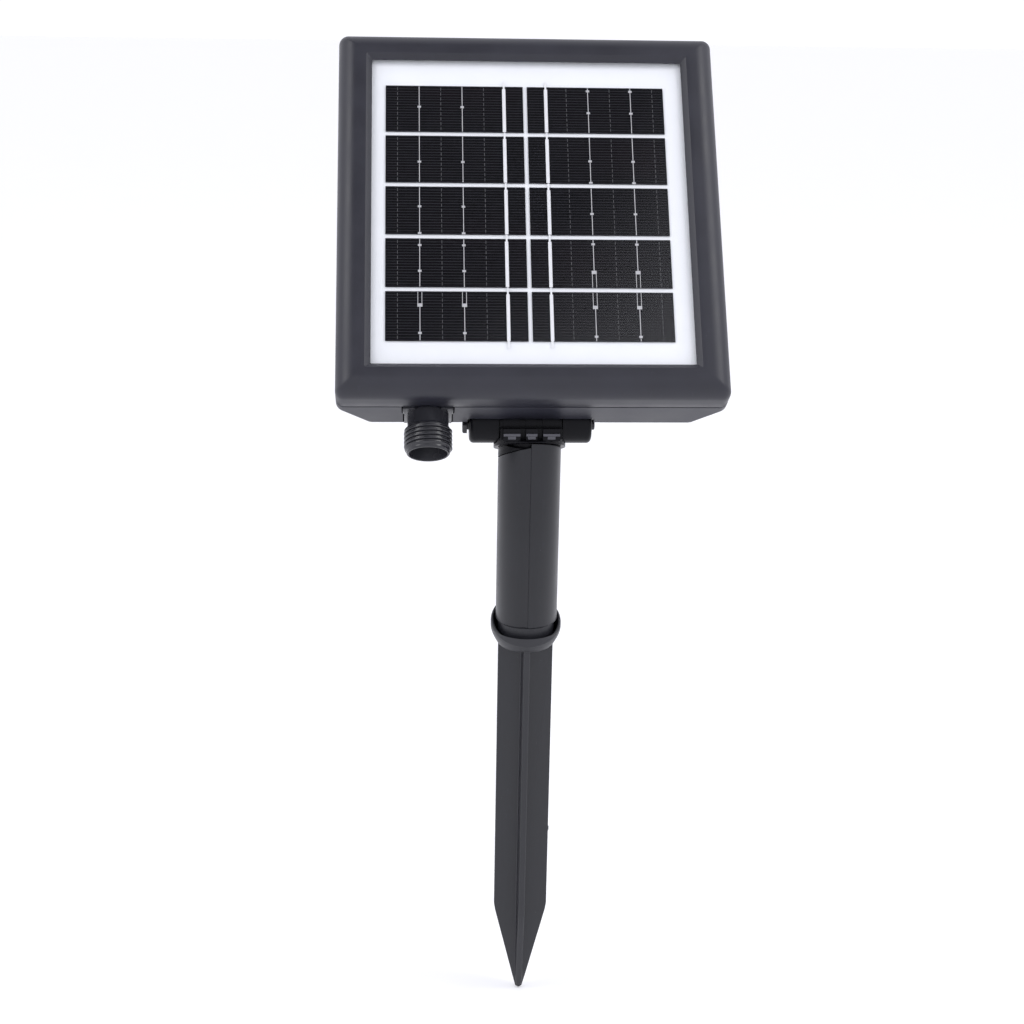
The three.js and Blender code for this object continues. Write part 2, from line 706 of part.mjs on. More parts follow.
// lead from an outlet pin to the board
function outletLead(side) {
  const [x, y] = BOARD_AT;
  const top = plugFloor();
  const plugX = x - 8 + side * 1.4;
  return lead([
    [pinX(side), PIN_Y[1] + GAP, OUTLET_Z], [pinX(side), 18, OUTLET_Z],
    [x - 6.5 + side * 2.5, 32, -17], [plugX, y - 15, top + 6], [plugX, y - 11, top + 5],
    [plugX, y - 11, top],
  ]);
}

function internalLeads() {
  const [batteryRed, batteryBlack] = batteryLeads();
  return [
    piece('battery_lead_red', batteryRed, finish.redLead),
    piece('battery_lead_black', batteryBlack, finish.blackLead),
    piece('panel_lead_red', panelLead(1), finish.redLead),
    piece('panel_lead_black', panelLead(-1), finish.blackLead),
    piece('outlet_lead_red', outletLead(1), finish.redLead),
    piece('outlet_lead_black', outletLead(-1), finish.blackLead),
  ];
}

// -------------------------------------------------------------------------- tilt hinge

function ear(side) {
  const span = side < 0 ? [-EAR_X[1], -EAR_X[0]] : EAR_X;
  const round = rod('x', EAR_R, span, [AXIS_Y, AXIS_Z], ROUND);
  const web = prismX([
    [AXIS_Y, AXIS_Z - EAR_R], [AXIS_Y + 20, BRACKET_Z[0] - 0.5], [AXIS_Y + 20, BRACKET_Z[1]],
    [AXIS_Y, BRACKET_Z[1]],
  ], span);
  return join(round, web);
}

// straight hole along x through the whole hinge, on its axis
function boltHole(play) {
  return rod('x', BOLT_R + play, [-40, 40], [AXIS_Y, AXIS_Z], SMALL_ROUND);
}

function hingeBracket() {
  const plate = block([-EAR_X[1], EAR_X[1]], BRACKET_Y, BRACKET_Z);
  const rib = block([-2, 2], [16, BRACKET_Y[1] - 3], [BRACKET_Z[0] - 2, BRACKET_Z[1] - 1]);
  const holes = bracketScrewPoints().map(([x, y]) => rod('z', 2.1, THROUGH, [x, y], 10));
  const nutSeat = rod('x', 4.6, [EAR_X[1] - 3.6, EAR_X[1] + 1], [AXIS_Y, AXIS_Z], 6);
  const headRoom = block([-EAR_X[0], EAR_X[0]], [-20, 12.5], [-60, -20]);
  const ears = cut(join(ear(-1), ear(1)), headRoom);
  return cut(join(plate, rib, ears), ...holes, boltHole(GAP), nutSeat);
}

function bracketScrews() {
  return bracketScrewPoints().map(([x, y], i) => {
    const mesh = piece(`bracket_screw_${i + 1}`, screw(3.4, 2.0, 1.5, 9), finish.steel);
    mesh.position.set(x, y, BRACKET_Z[0] - GAP);
    return mesh;
  });
}

function housingScrews() {
  return cornerPoints().map(([x, y], i) => {
    const mesh = piece(`housing_screw_${i + 1}`, screw(2.9, 1.8, 1.2, 13.5), finish.steel);
    mesh.position.set(x, y, SHELL_TAPER_Z - 2 - GAP);
    return mesh;
  });
}

function pivotBolt() {
  const end = EAR_X[1];
  return join(
    rod('x', BOLT_R - 0.05, [-end - 1, end + 1.6], [AXIS_Y, AXIS_Z], SMALL_ROUND),
    rod('x', 4.2, [-end - 2.9, -end - 0.9], [AXIS_Y, AXIS_Z], 6),
  );
}

function washer(side) {
  const outer = EAR_X[0] - 0.1;
  const inner = BARREL_HALF - 0.45;
  const span = side < 0 ? [-outer, -inner] : [inner, outer];
  return cut(rod('x', 6.2, span, [AXIS_Y, AXIS_Z], 20), boltHole(GAP));
}

function pivotNut() {
  const body = rod('x', 4.2, [EAR_X[1] - 3.2, EAR_X[1] - 0.2], [AXIS_Y, AXIS_Z], 6);
  return cut(body, boltHole(0.25));
}

// ------------------------------------------------------------- head, pole and stake

// everything above the sloped plane z = height - slope * y + lean * x, as a large block
function aboveSlope(height, slope, lean = 0) {
  const reach = 60;
  const geometry = new THREE.BoxGeometry(2 * reach, 2 * reach, 2 * reach);
  geometry.translate(0, 0, reach);
  const shear = new THREE.Matrix4().set(1, 0, 0, 0, 0, 1, 0, 0, lean, -slope, 1, height, 0, 0, 0, 1);
  geometry.applyMatrix4(shear);
  return solid(geometry);
}

// solid from the hinge axis to this far in front of it, with a sloping top
function nose(front, x) {
  const back = 8.5;
  const slope = (LUG_TOP[1] - LUG_TOP[0]) / (LUG_FRONT - back);
  return prismX([
    [0, HEAD_TOP - 1], [0, HINGE_HEIGHT], [-back, LUG_TOP[0]],
    [-front, LUG_TOP[0] + (front - back) * slope], [-front, HEAD_TOP - 0.25], [-front + 1, HEAD_TOP - 1],
  ], x);
}

// the half-round knuckle and its nose: three lugs, each with a stepped ledge
function headKnuckle() {
  const barrel = rod('x', BARREL_R, [-BARREL_HALF, BARREL_HALF], [0, HINGE_HEIGHT]);
  const neck = block([-BARREL_HALF, BARREL_HALF], [-BARREL_R, BARREL_R], [HEAD_TOP - 6, HINGE_HEIGHT]);
  const ledges = LUGS.flatMap(([x0, x1]) => {
    const middle = (x0 + x1) / 2;
    const front = -LUG_FRONT - LEDGE_PROUD;
    return [
      block([x0, x1], [front, front + 2], [HEAD_TOP + 1.9, HEAD_TOP + 3.1]),
      block([middle - 1.7, middle + 1.7], [front + 0.2, front + 2], [HEAD_TOP + 0.6, HEAD_TOP + 2.4]),
    ];
  });
  const lugs = LUGS.map((x) => nose(LUG_FRONT, x));
  return join(neck, barrel, nose(NOSE_FRONT, [-BARREL_HALF, BARREL_HALF]), ...lugs, ...ledges);
}

// room for the bracket's ear and its washer on one side of the knuckle
function earRoom(side) {
  const span = (a, b) => [Math.min(side * a, side * b), Math.max(side * a, side * b)];
  const axis = [0, HINGE_HEIGHT];
  return join(
    rod('x', EAR_R + 0.5, span(BARREL_HALF, 40), axis),
    rod('x', 6.6, span(BARREL_HALF - 0.75, BARREL_HALF + 1), axis),
  );
}

// everything above the lower, left half of the pole's rim
function aboveLeftRim(height) {
  const left = block([-40, -GAP], [-40, 40], [0, 150]);
  return aboveSlope(height - SIDE_STEP, OBLIQUE, SIDE_RELIEF).intersect(left);
}

function tiltHead() {
  const skirt = turned([
    [0, 78], [HEAD_R, 78], [HEAD_R, HEAD_TOP - 0.8], [HEAD_R - 0.8, HEAD_TOP], [0, HEAD_TOP],
  ]);
  const foot = HEAD_RIM - HEAD_SPIGOT_LEN;
  const spigot = turned([
    [0, foot], [SPIGOT_R - 1, foot], [SPIGOT_R, foot + 1.5], [SPIGOT_R, HEAD_TOP - 2],
    [0, HEAD_TOP - 2],
  ]);
  const hollow = turned([
    [0, 60], [SPIGOT_R - 2.4, 60], [SPIGOT_R - 2.4, HEAD_RIM - 3], [0, HEAD_RIM - 1],
  ]);
  const above = join(skirt, headKnuckle()).intersect(aboveSlope(HEAD_RIM, OBLIQUE));
  const sleeve = turned([
    [0, 80], [SLEEVE_R[0], 80], [SLEEVE_R[0], SLEEVE_Z[0]], [SLEEVE_R[1], SLEEVE_Z[1]],
    [0, SLEEVE_Z[1]],
  ]).intersect(aboveLeftRim(HEAD_RIM));
  const bore = rod('x', BOLT_R + 0.08, [-40, 40], [0, HINGE_HEIGHT], SMALL_ROUND);
  return cut(join(above, sleeve, spigot), bore, earRoom(-1), earRoom(1), hollow);
}

function poleTube() {
  const blank = turned([
    [TUBE_BORE_R, TUBE_BOTTOM], [TUBE_R, TUBE_BOTTOM], [TUBE_R, 100], [TUBE_BORE_R, 100],
    [TUBE_BORE_R, TUBE_BOTTOM],
  ]);
  const seat = HEAD_RIM - GAP;
  const left = aboveLeftRim(seat).translate([GAP, 0, 0]);
  return cut(blank, aboveSlope(seat, OBLIQUE), left);
}

function fin(turn) {
  const half = BLADE_W / 2;
  const geometry = prism(polygon([
    [-half, 1], [-half, BLADE_SHOULDER], [-TIP_W / 2, BLADE_TIP], [TIP_W / 2, BLADE_TIP],
    [half, BLADE_SHOULDER], [half, 1],
  ]), [-FIN_T / 2, FIN_T / 2]);
  geometry.rotateX(Math.PI / 2);
  geometry.rotateZ(turn);
  return solid(geometry);
}

function groundStake() {
  const collar = turned([
    [0, -1.2], [BLADE_W / 2 - 0.4, -1.2], [BLADE_W / 2 + 0.9, 0.6], [COLLAR_R - 0.9, 3.6],
    [COLLAR_R, 7.5], [COLLAR_R, 24], [0, 24],
  ]);
  const rimmed = cut(collar, aboveSlope(COLLAR_RIM, -OBLIQUE));
  const cup = turned([
    [0, 1.6], [COLLAR_BORE_R - 1.6, 1.6], [COLLAR_BORE_R, 4.4], [COLLAR_BORE_R, 40], [0, 40],
  ]);
  const seat = TUBE_BOTTOM - GAP;
  const spigot = turned([
    [0, 0.5], [SPIGOT_R + 1.4, 0.5], [SPIGOT_R + 1.4, seat], [SPIGOT_R, seat],
    [SPIGOT_R, STAKE_SPIGOT_TOP - 1.5], [SPIGOT_R - 1, STAKE_SPIGOT_TOP], [0, STAKE_SPIGOT_TOP],
  ]);
  const hollow = turned([
    [0, 6], [SPIGOT_R - 2.6, 6], [SPIGOT_R - 2.6, STAKE_SPIGOT_TOP + 1],
    [0, STAKE_SPIGOT_TOP + 1],
  ]);
  const socket = cut(join(cut(rimmed, cup), spigot), hollow);
  return join(socket, fin(0), fin(Math.PI / 2));
}

// ---------------------------------------------------------------------------- assembly

const panel = new THREE.Group();
panel.add(
  piece('front_bezel', frontBezel(), finish.housing),
  piece('rear_shell', rearShell(), finish.shell),
  piece('housing_gasket', housingGasket(), finish.rubber),
  ...laminate(),
  ...outletPieces(),
  piece('battery_cell', batteryCell(), finish.battery),
  piece('battery_cradle', batteryCradle(), finish.smooth),
  piece('control_board', controlBoard(), finish.board),
  ...boardParts(),
  ...boardScrews(),
  ...internalLeads(),
  ...housingScrews(),
  piece('hinge_bracket', hingeBracket(), finish.smooth),
  ...bracketScrews(),
  piece('pivot_bolt', pivotBolt(), finish.smooth),
  piece('pivot_nut', pivotNut(), finish.steel),
  piece('pivot_washer_left', washer(-1), finish.rubber),
  piece('pivot_washer_right', washer(1), finish.rubber),
);

// the hinge axis of the turned panel lies over the pole's axis
const axisInPanel = new THREE.Vector3(0, AXIS_Y, AXIS_Z);
axisInPanel.applyAxisAngle(new THREE.Vector3(1, 0, 0), PANEL_TILT);
panel.rotation.x = PANEL_TILT;
panel.position.set(0, -axisInPanel.y, HINGE_HEIGHT - axisInPanel.z);

const unit = new THREE.Group();
unit.add(
  panel,
  piece('tilt_head', tiltHead(), finish.smooth),
  piece('pole_tube', poleTube(), finish.pole),
  piece('ground_stake', groundStake(), finish.stake),
);

export default unit;
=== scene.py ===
"""Looks of the solar power unit: its camera, studio, detailed pieces and materials."""

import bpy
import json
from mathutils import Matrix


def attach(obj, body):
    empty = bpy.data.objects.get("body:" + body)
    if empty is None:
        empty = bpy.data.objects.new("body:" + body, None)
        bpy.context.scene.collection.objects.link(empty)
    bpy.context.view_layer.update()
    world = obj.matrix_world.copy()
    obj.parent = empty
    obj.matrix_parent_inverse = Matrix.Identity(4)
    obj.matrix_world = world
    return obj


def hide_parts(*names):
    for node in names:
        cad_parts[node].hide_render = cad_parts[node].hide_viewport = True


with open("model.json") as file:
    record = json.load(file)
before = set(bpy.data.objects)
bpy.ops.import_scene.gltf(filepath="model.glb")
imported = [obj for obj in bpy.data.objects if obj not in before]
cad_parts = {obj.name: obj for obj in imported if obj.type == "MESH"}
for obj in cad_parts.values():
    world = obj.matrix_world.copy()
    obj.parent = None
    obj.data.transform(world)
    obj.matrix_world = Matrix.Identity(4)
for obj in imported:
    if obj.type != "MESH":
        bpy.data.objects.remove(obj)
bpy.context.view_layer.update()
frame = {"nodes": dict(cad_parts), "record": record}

import json
import math
import random

import bmesh
import bpy
from mathutils import Matrix, Vector

MM = 0.001
TILT = math.radians(52.7)
AXIS = (1.0, -37.2)                      # hinge axis in the panel's frame, y and z
HINGE_HEIGHT = 99.9
UP = Vector((0, math.cos(TILT), math.sin(TILT)))
OUT = Vector((0, -math.sin(TILT), math.cos(TILT)))
ORIGIN = Vector((0, 0, HINGE_HEIGHT)) - UP * AXIS[0] - OUT * AXIS[1]
PANEL = Matrix.Translation(ORIGIN * MM) @ Matrix.Rotation(TILT, 4, "X")
WORLD = Matrix.Identity(4)

PANEL_W, PANEL_H = 165.0, 172.4
MID_Y = PANEL_H / 2
WALL = 2.2
SHELL_BACK = -33.5
OUTLET_X, OUTLET_Z = -43.9, -22.8
SCREW_INSET = 5.4                        # housing screws from the panel's outer walls
HOUSING_SCREWS = [(x, y) for y in (SCREW_INSET, PANEL_H - SCREW_INSET)
                  for x in (SCREW_INSET - PANEL_W / 2, PANEL_W / 2 - SCREW_INSET)]
BRACKET_SCREWS = [(x, y) for y in (27, 39) for x in (-20, 20)]
OBLIQUE = 0.42                           # slope of the obliquely cut rims


# ---------------------------------------------------------------- mesh helpers, in mm

def skin(rings, close=False):
    """Closed surface through equal rings of points, capped unless the last ring meets the first."""
    bm = bmesh.new()
    loops = [[bm.verts.new(Vector(p) * MM) for p in ring] for ring in rings]
    pairs = list(zip(loops, loops[1:])) + ([(loops[-1], loops[0])] if close else [])
    for a, b in pairs:
        n = len(a)
        for i in range(n):
            bm.faces.new((a[i], a[(i + 1) % n], b[(i + 1) % n], b[i]))
    if not close:
        bm.faces.new(loops[0])
        bm.faces.new(loops[-1])
    bmesh.ops.recalc_face_normals(bm, faces=bm.faces)
    return bm


def rounded(points, radius, steps=4, closed=False):
    """Line with its corners rounded; radius is one number, or one for each point."""
    made = []
    last = len(points) - 1
    for i, corner in enumerate(points):
        r = radius[i] if isinstance(radius, (list, tuple)) else radius
        if r <= 0 or (not closed and i in (0, last)):
            made.append(tuple(corner))
            continue
        p = Vector(corner)
        a = Vector(points[i - 1]) - p
        b = Vector(points[(i + 1) % (last + 1)]) - p
        reach = min(r * math.tan((math.pi - a.angle(b)) / 2), 0.49 * a.length, 0.49 * b.length)
        start = p + a.normalized() * reach
        end = p + b.normalized() * reach
        for k in range(steps + 1):
            t = k / steps
            made.append(tuple(start.lerp(p, t).lerp(p.lerp(end, t), t)))
    return made


def rect_ring(half_w, y0, y1, r, z):
    """Rectangle about x = 0 with round corners, as a ring of points."""
    steps = 6
    centres = [(half_w - r, y0 + r, -90), (half_w - r, y1 - r, 0),
               (-half_w + r, y1 - r, 90), (-half_w + r, y0 + r, 180)]
    ring = []
    for cx, cy, first in centres:
        for k in range(steps + 1):
            angle = math.radians(first + 90 * k / steps)
            ring.append((cx + r * math.cos(angle), cy + r * math.sin(angle), z))
    return ring


def angles(n):
    """Equal steps of one full turn."""
    return [2 * math.pi * k / n for k in range(n)]


def turned(outline, n=96, at=(0, 0, 0), along="z"):
    """Solid of revolution; its outline holds (radius, height) from axis to axis."""
    rings = []
    for r, h in outline[1:-1]:
        ring = [(r * math.cos(a), r * math.sin(a), h) for a in angles(n)]
        rings.append([place(p, at, along) for p in ring])
    return skin(rings)


def place(p, at, along):
    """Turns a point so that its z lies along an axis, then shifts it."""
    x, y, z = p
    turned_to = {"z": (x, y, z), "x": (z, x, y), "y": (y, z, x)}[along]
    return tuple(c + d for c, d in zip(turned_to, at))


def rod(radius, span, at=(0, 0, 0), along="z", n=64, edge=0.0):
    """Round bar over a span of its axis, with chamfered ends if there is an edge."""
    a, b = span
    ends = [(radius, a), (radius, b)]
    if edge:
        ends = [(radius - edge, a), (radius, a + edge), (radius, b - edge), (radius - edge, b)]
    return turned([(0, a), *ends, (0, b)], n, at, along)


def block(x, y, z):
    """Box between two values of x, of y and of z."""
    ring = [(x[0], y[0]), (x[1], y[0]), (x[1], y[1]), (x[0], y[1])]
    return skin([[(px, py, h) for px, py in ring] for h in z])


def prism(points, x):
    """Solid along x with an outline of (y, z) points."""
    return skin([[(h, py, pz) for py, pz in points] for h in x])


def make(name, bm, matrix=WORLD):
    """Object made from a bmesh, which is freed."""
    mesh = bpy.data.meshes.new(name)
    bm.to_mesh(mesh)
    bm.free()
    made = bpy.data.objects.new(name, mesh)
    bpy.context.scene.collection.objects.link(made)
    made.matrix_world = matrix
    return made


def merged(*parts):
    """Several bmeshes as one."""
    whole = bmesh.new()
    for part in parts:
        mesh = bpy.data.meshes.new("part")
        part.to_mesh(mesh)
        part.free()
        whole.from_mesh(mesh)
        bpy.data.meshes.remove(mesh)
    return whole


def settle(made):
    """Applies an object's modifiers."""
    dg = bpy.context.evaluated_depsgraph_get()
    mesh = bpy.data.meshes.new_from_object(made.evaluated_get(dg))
    old = made.data
    made.modifiers.clear()
    made.data = mesh
    bpy.data.meshes.remove(old)


def combine(made, parts, operation):
    """Joins parts to an object, or cuts them out of it; parts are bmeshes in its frame."""
    tools = [make("tool", part, made.matrix_world) for part in parts]
    for tool in tools:
        step = made.modifiers.new("step", "BOOLEAN")
        step.operation = operation
        step.object = tool
        step.solver = "EXACT"
    bpy.context.view_layer.update()
    settle(made)
    for tool in tools:
        mesh = tool.data
        bpy.data.objects.remove(tool)
        bpy.data.meshes.remove(mesh)


def taken(made):
    """An object's mesh as a bmesh; the object itself is removed."""
    bm = bmesh.new()
    bm.from_mesh(made.data)
    bpy.data.objects.remove(made)
    return bm


def soften(made, width, segments=3, angle=32):
    """Rounds the hard edges of an object and shades it smooth."""
    bm = bmesh.new()
    bm.from_mesh(made.data)
    bmesh.ops.remove_doubles(bm, verts=bm.verts, dist=0.01 * MM)
    bmesh.ops.dissolve_limit(bm, angle_limit=math.radians(0.6), verts=bm.verts, edges=bm.edges)
    bm.to_mesh(made.data)
    bm.free()
    if width:
        step = made.modifiers.new("edges", "BEVEL")
        step.width = width * MM
        step.segments = segments
        step.limit_method = "ANGLE"
        step.angle_limit = math.radians(angle)
        step.use_clamp_overlap = True
        step.miter_outer = "MITER_ARC"
        settle(made)
    smooth(made)
    step = made.modifiers.new("normals", "WEIGHTED_NORMAL")
    step.keep_sharp = True
    step.weight = 90
    settle(made)


def smooth(made, angle=38):
    """Shades an object smooth except over edges sharper than the angle."""
    made.data.shade_smooth()
    made.data.set_sharp_from_angle(angle=math.radians(angle))


def piece(made, body, slot, material, *nodes):
    """Gives a finished object its body and material, and the CAD nodes it stands for; the slot is not used.
    """
    made.data.transform(made.matrix_world)
    made.matrix_world = WORLD
    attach(made, body)
    if nodes:
        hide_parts(*nodes)
    made.data.materials.clear()
    made.data.materials.append(material)
    return made


# ------------------------------------------------------------------------- materials

class Shader:
    """A node material that is written out as calls."""

    def __init__(self, name):
        self.material = bpy.data.materials.new(name)
        self.material.use_nodes = True
        self.tree = self.material.node_tree
        self.tree.nodes.clear()

    def add(self, kind, inputs=None, **properties):
        node = self.tree.nodes.new("ShaderNode" + kind)
        for key, value in properties.items():
            setattr(node, key, value)
        for key, value in (inputs or {}).items():
            if isinstance(value, bpy.types.NodeSocket):
                self.tree.links.new(value, node.inputs[key])
            else:
                node.inputs[key].default_value = value
        return node

    def point(self, panel=False):
        """Position in metres, or in the panel's own frame for a CAD node of the panel."""
        spot = self.add("TexCoord").outputs["Object"]
        if not panel:
            return spot
        return self.add("Mapping", {"Vector": spot, "Location": ORIGIN * MM, "Rotation": (TILT, 0, 0)},
                        vector_type="TEXTURE").outputs[0]

    def stretch(self, spot, scale):
        return self.add("Mapping", {"Vector": spot, "Scale": scale}).outputs[0]

    def noise(self, spot, size, detail=3.0, rough=0.55):
        """Noise whose features are about this many mm across."""
        return self.add("TexNoise", {"Vector": spot, "Scale": 1 / (size * MM), "Detail": detail,
                                     "Roughness": rough}).outputs["Fac"]

    def math(self, operation, a, b=0.0, c=0.0):
        node = self.add("Math", operation=operation)
        for i, value in enumerate((a, b, c)):
            if isinstance(value, bpy.types.NodeSocket):
                self.tree.links.new(value, node.inputs[i])
            else:
                node.inputs[i].default_value = value
        return node.outputs[0]

    def step(self, value, low, high, to_low=0.0, to_high=1.0):
        return self.add("MapRange", {"Value": value, "From Min": low, "From Max": high,
                                     "To Min": to_low, "To Max": to_high},
                        interpolation_type="SMOOTHSTEP").outputs[0]

    def mix(self, share, a, b):
        node = self.add("Mix", data_type="RGBA")
        for socket, value in ((node.inputs[0], share), (node.inputs[6], a), (node.inputs[7], b)):
            if isinstance(value, bpy.types.NodeSocket):
                self.tree.links.new(value, socket)
            else:
                socket.default_value = (*value, 1) if isinstance(value, tuple) else value
        return node.outputs[2]

    def bump(self, height, depth):
        """Bump of a height from 0 to 1 that is this many mm deep."""
        inputs = {"Height": height, "Distance": depth * MM, "Strength": 1.0}
        return self.add("Bump", inputs).outputs[0]

    def done(self, **inputs):
        """Ends in a Principled shader with these inputs."""
        named = {key.replace("_", " "): value for key, value in inputs.items()}
        shader = self.add("BsdfPrincipled", named)
        self.close(shader.outputs[0])
        return self.material

    def close(self, socket):
        end = self.add("OutputMaterial")
        self.tree.links.new(socket, end.inputs["Surface"])


def shade(color, factor):
    """A lighter or darker form of a colour."""
    return tuple(min(1.0, c * factor) for c in color)


def moulded(name, color, roughness, grain, depth, scuffs=0.5, panel=False, level=0.5):
    """Moulded plastic: fine tool grain, uneven tone, faint scuffs and a little dust."""
    s = Shader(name)
    spot = s.point(panel)
    fine = s.noise(spot, grain, 2.0, 0.6)
    broad = s.noise(spot, 22, 4.0)
    streak = s.noise(s.stretch(spot, (1.0, 0.14, 0.14)), 1.1, 3.0, 0.7)
    scuff = s.step(s.math("MULTIPLY", streak, s.noise(spot, 9, 2.0)), 0.37, 0.47)
    speck = s.step(s.add("TexVoronoi", {"Vector": spot, "Scale": 1 / (3.4 * MM)}).outputs["Distance"],
                   0.035, 0.02)
    tone = s.mix(s.step(broad, 0.3, 0.7), shade(color, 0.9), shade(color, 1.12))
    worn = s.mix(s.math("MULTIPLY", scuff, 0.35 * scuffs), tone, shade(color, 2.4))
    dusty = s.mix(s.math("MULTIPLY", speck, 0.35 * scuffs), worn, (0.32, 0.33, 0.35))
    gloss = s.math("ADD", s.step(broad, 0.25, 0.75, roughness - 0.05, roughness + 0.05),
                   s.math("MULTIPLY", scuff, 0.12 * scuffs))
    normal = s.bump(fine, depth)
    return s.done(Base_Color=dusty, Roughness=gloss, Normal=normal, IOR=1.5, Specular_IOR_Level=level)


def metal(name, color, roughness):
    """Bare metal with a faint brushed grain."""
    s = Shader(name)
    spot = s.point()
    broad = s.noise(spot, 3, 4.0)
    fine = s.noise(s.stretch(spot, (1, 8, 1)), 0.5, 2.0)
    tone = s.mix(broad, shade(color, 0.78), shade(color, 1.1))
    gloss = s.step(fine, 0.2, 0.8, roughness - 0.08, roughness + 0.12)
    return s.done(Base_Color=tone, Metallic=1.0, Roughness=gloss, Normal=s.bump(fine, 0.004))


def sheet(name, low, high, roughness, size, depth=0.003, **more):
    """Simple uneven surface between two colours."""
    s = Shader(name)
    spot = s.point()
    tone = s.mix(s.noise(spot, size, 5.0, 0.6), low, high)
    gloss = s.step(s.noise(spot, size * 0.4), 0.3, 0.7, roughness - 0.06, roughness + 0.06)
    return s.done(Base_Color=tone, Roughness=gloss, Normal=s.bump(s.noise(spot, size * 0.3), depth), **more)


CELL_PITCH = 24.75
ARRAY_Y = 85.8                           # middle of the cells
FINGER_PITCH = CELL_PITCH / 19


def cell_material():
    """Black crystalline cell with thin silver fingers across it."""
    s = Shader("solar_cell")
    spot = s.point(panel=True)
    xyz = s.add("SeparateXYZ", {"Vector": spot})
    y = s.math("DIVIDE", s.math("SUBTRACT", xyz.outputs[1], ARRAY_Y * MM), FINGER_PITCH * MM)
    wave = s.math("ABSOLUTE", s.math("SUBTRACT", s.math("FRACT", y), 0.5))
    patchy = s.noise(s.stretch(spot, (0.5, 4, 1)), 2.0, 3.0)
    finger = s.math("MULTIPLY", s.step(wave, 0.17, 0.09), s.step(patchy, 0.15, 0.6, 0.6, 1.0))
    crystal = s.noise(spot, 14, 3.0)
    row = s.noise(s.stretch(spot, (0.3, 1, 1)), 40, 1.0)
    base = s.mix(crystal, (0.0012, 0.0013, 0.0022), (0.0024, 0.0026, 0.0040))
    warm = s.mix(s.step(row, 0.45, 0.7), base, (0.0035, 0.0022, 0.0036))
    color = s.mix(finger, warm, (0.024, 0.024, 0.029))
    normal = s.bump(finger, 0.01)
    return s.done(Base_Color=color, Roughness=s.step(crystal, 0.3, 0.7, 0.34, 0.42),
                  Normal=normal, IOR=1.5, Specular_IOR_Level=0.05)


def cover_material():
    """Clear cover: light passes, with gloss by angle and a few fine marks."""
    s = Shader("clear_cover")
    spot = s.point(panel=True)
    smear = s.noise(s.stretch(spot, (1, 0.4, 1)), 18, 4.0)
    mark = s.step(s.noise(s.stretch(spot, (0.05, 1, 1)), 0.5, 2.0), 0.72, 0.78)
    rough = s.math("ADD", s.step(smear, 0.3, 0.8, 0.02, 0.07), s.math("MULTIPLY", mark, 0.15))
    gloss = s.add("BsdfGlossy", {"Color": (1, 1, 1, 1), "Roughness": rough})
    clear = s.add("BsdfTransparent", {"Color": (1, 1, 1, 1)})
    facing = s.add("LayerWeight", {"Blend": 0.5}).outputs["Facing"]
    share = s.math("MULTIPLY_ADD", s.math("POWER", facing, 5.0), 0.98, 0.02)
    both = s.add("MixShader", {0: share, 1: clear.outputs[0], 2: gloss.outputs[0]})
    s.close(both.outputs[0])
    return s.material


def board_material():
    """Green circuit board with pale tracks and small pads."""
    s = Shader("circuit_board")
    spot = s.point(panel=True)
    track = s.add("TexBrick", {"Vector": spot, "Scale": 220.0, "Mortar Size": 0.012,
                               "Color1": (0.010, 0.085, 0.035, 1), "Color2": (0.014, 0.11, 0.045, 1),
                               "Mortar": (0.03, 0.2, 0.08, 1)})
    pad = s.step(s.add("TexVoronoi", {"Vector": spot, "Scale": 300.0}).outputs["Distance"], 0.16, 0.12)
    color = s.mix(s.math("MULTIPLY", pad, 0.8), track.outputs["Color"], (0.55, 0.5, 0.36))
    return s.done(Base_Color=color, Roughness=s.step(pad, 0, 1, 0.4, 0.3), Metallic=pad,
                  Normal=s.bump(track.outputs["Fac"], 0.02))


BATTERY_X = 30                           # middle of the battery


def sleeve_material():
    """Shrink sleeve of the battery, with plain bands and fine wrinkles near its ends."""
    s = Shader("battery_sleeve")
    spot = s.point(panel=True)
    xyz = s.add("SeparateXYZ", {"Vector": spot})
    end = s.math("ABSOLUTE", s.math("SUBTRACT", xyz.outputs[0], BATTERY_X * MM))
    band = s.step(end, 27.4 * MM, 27.8 * MM)
    base = s.mix(s.noise(spot, 9), (0.016, 0.075, 0.27), (0.022, 0.095, 0.33))
    color = s.mix(band, base, (0.55, 0.56, 0.58))
    wrinkle = s.noise(s.stretch(spot, (0.3, 1, 1)), 1.2)
    return s.done(Base_Color=color, Roughness=s.step(wrinkle, 0.3, 0.7, 0.28, 0.42),
                  Normal=s.bump(wrinkle, 0.03))


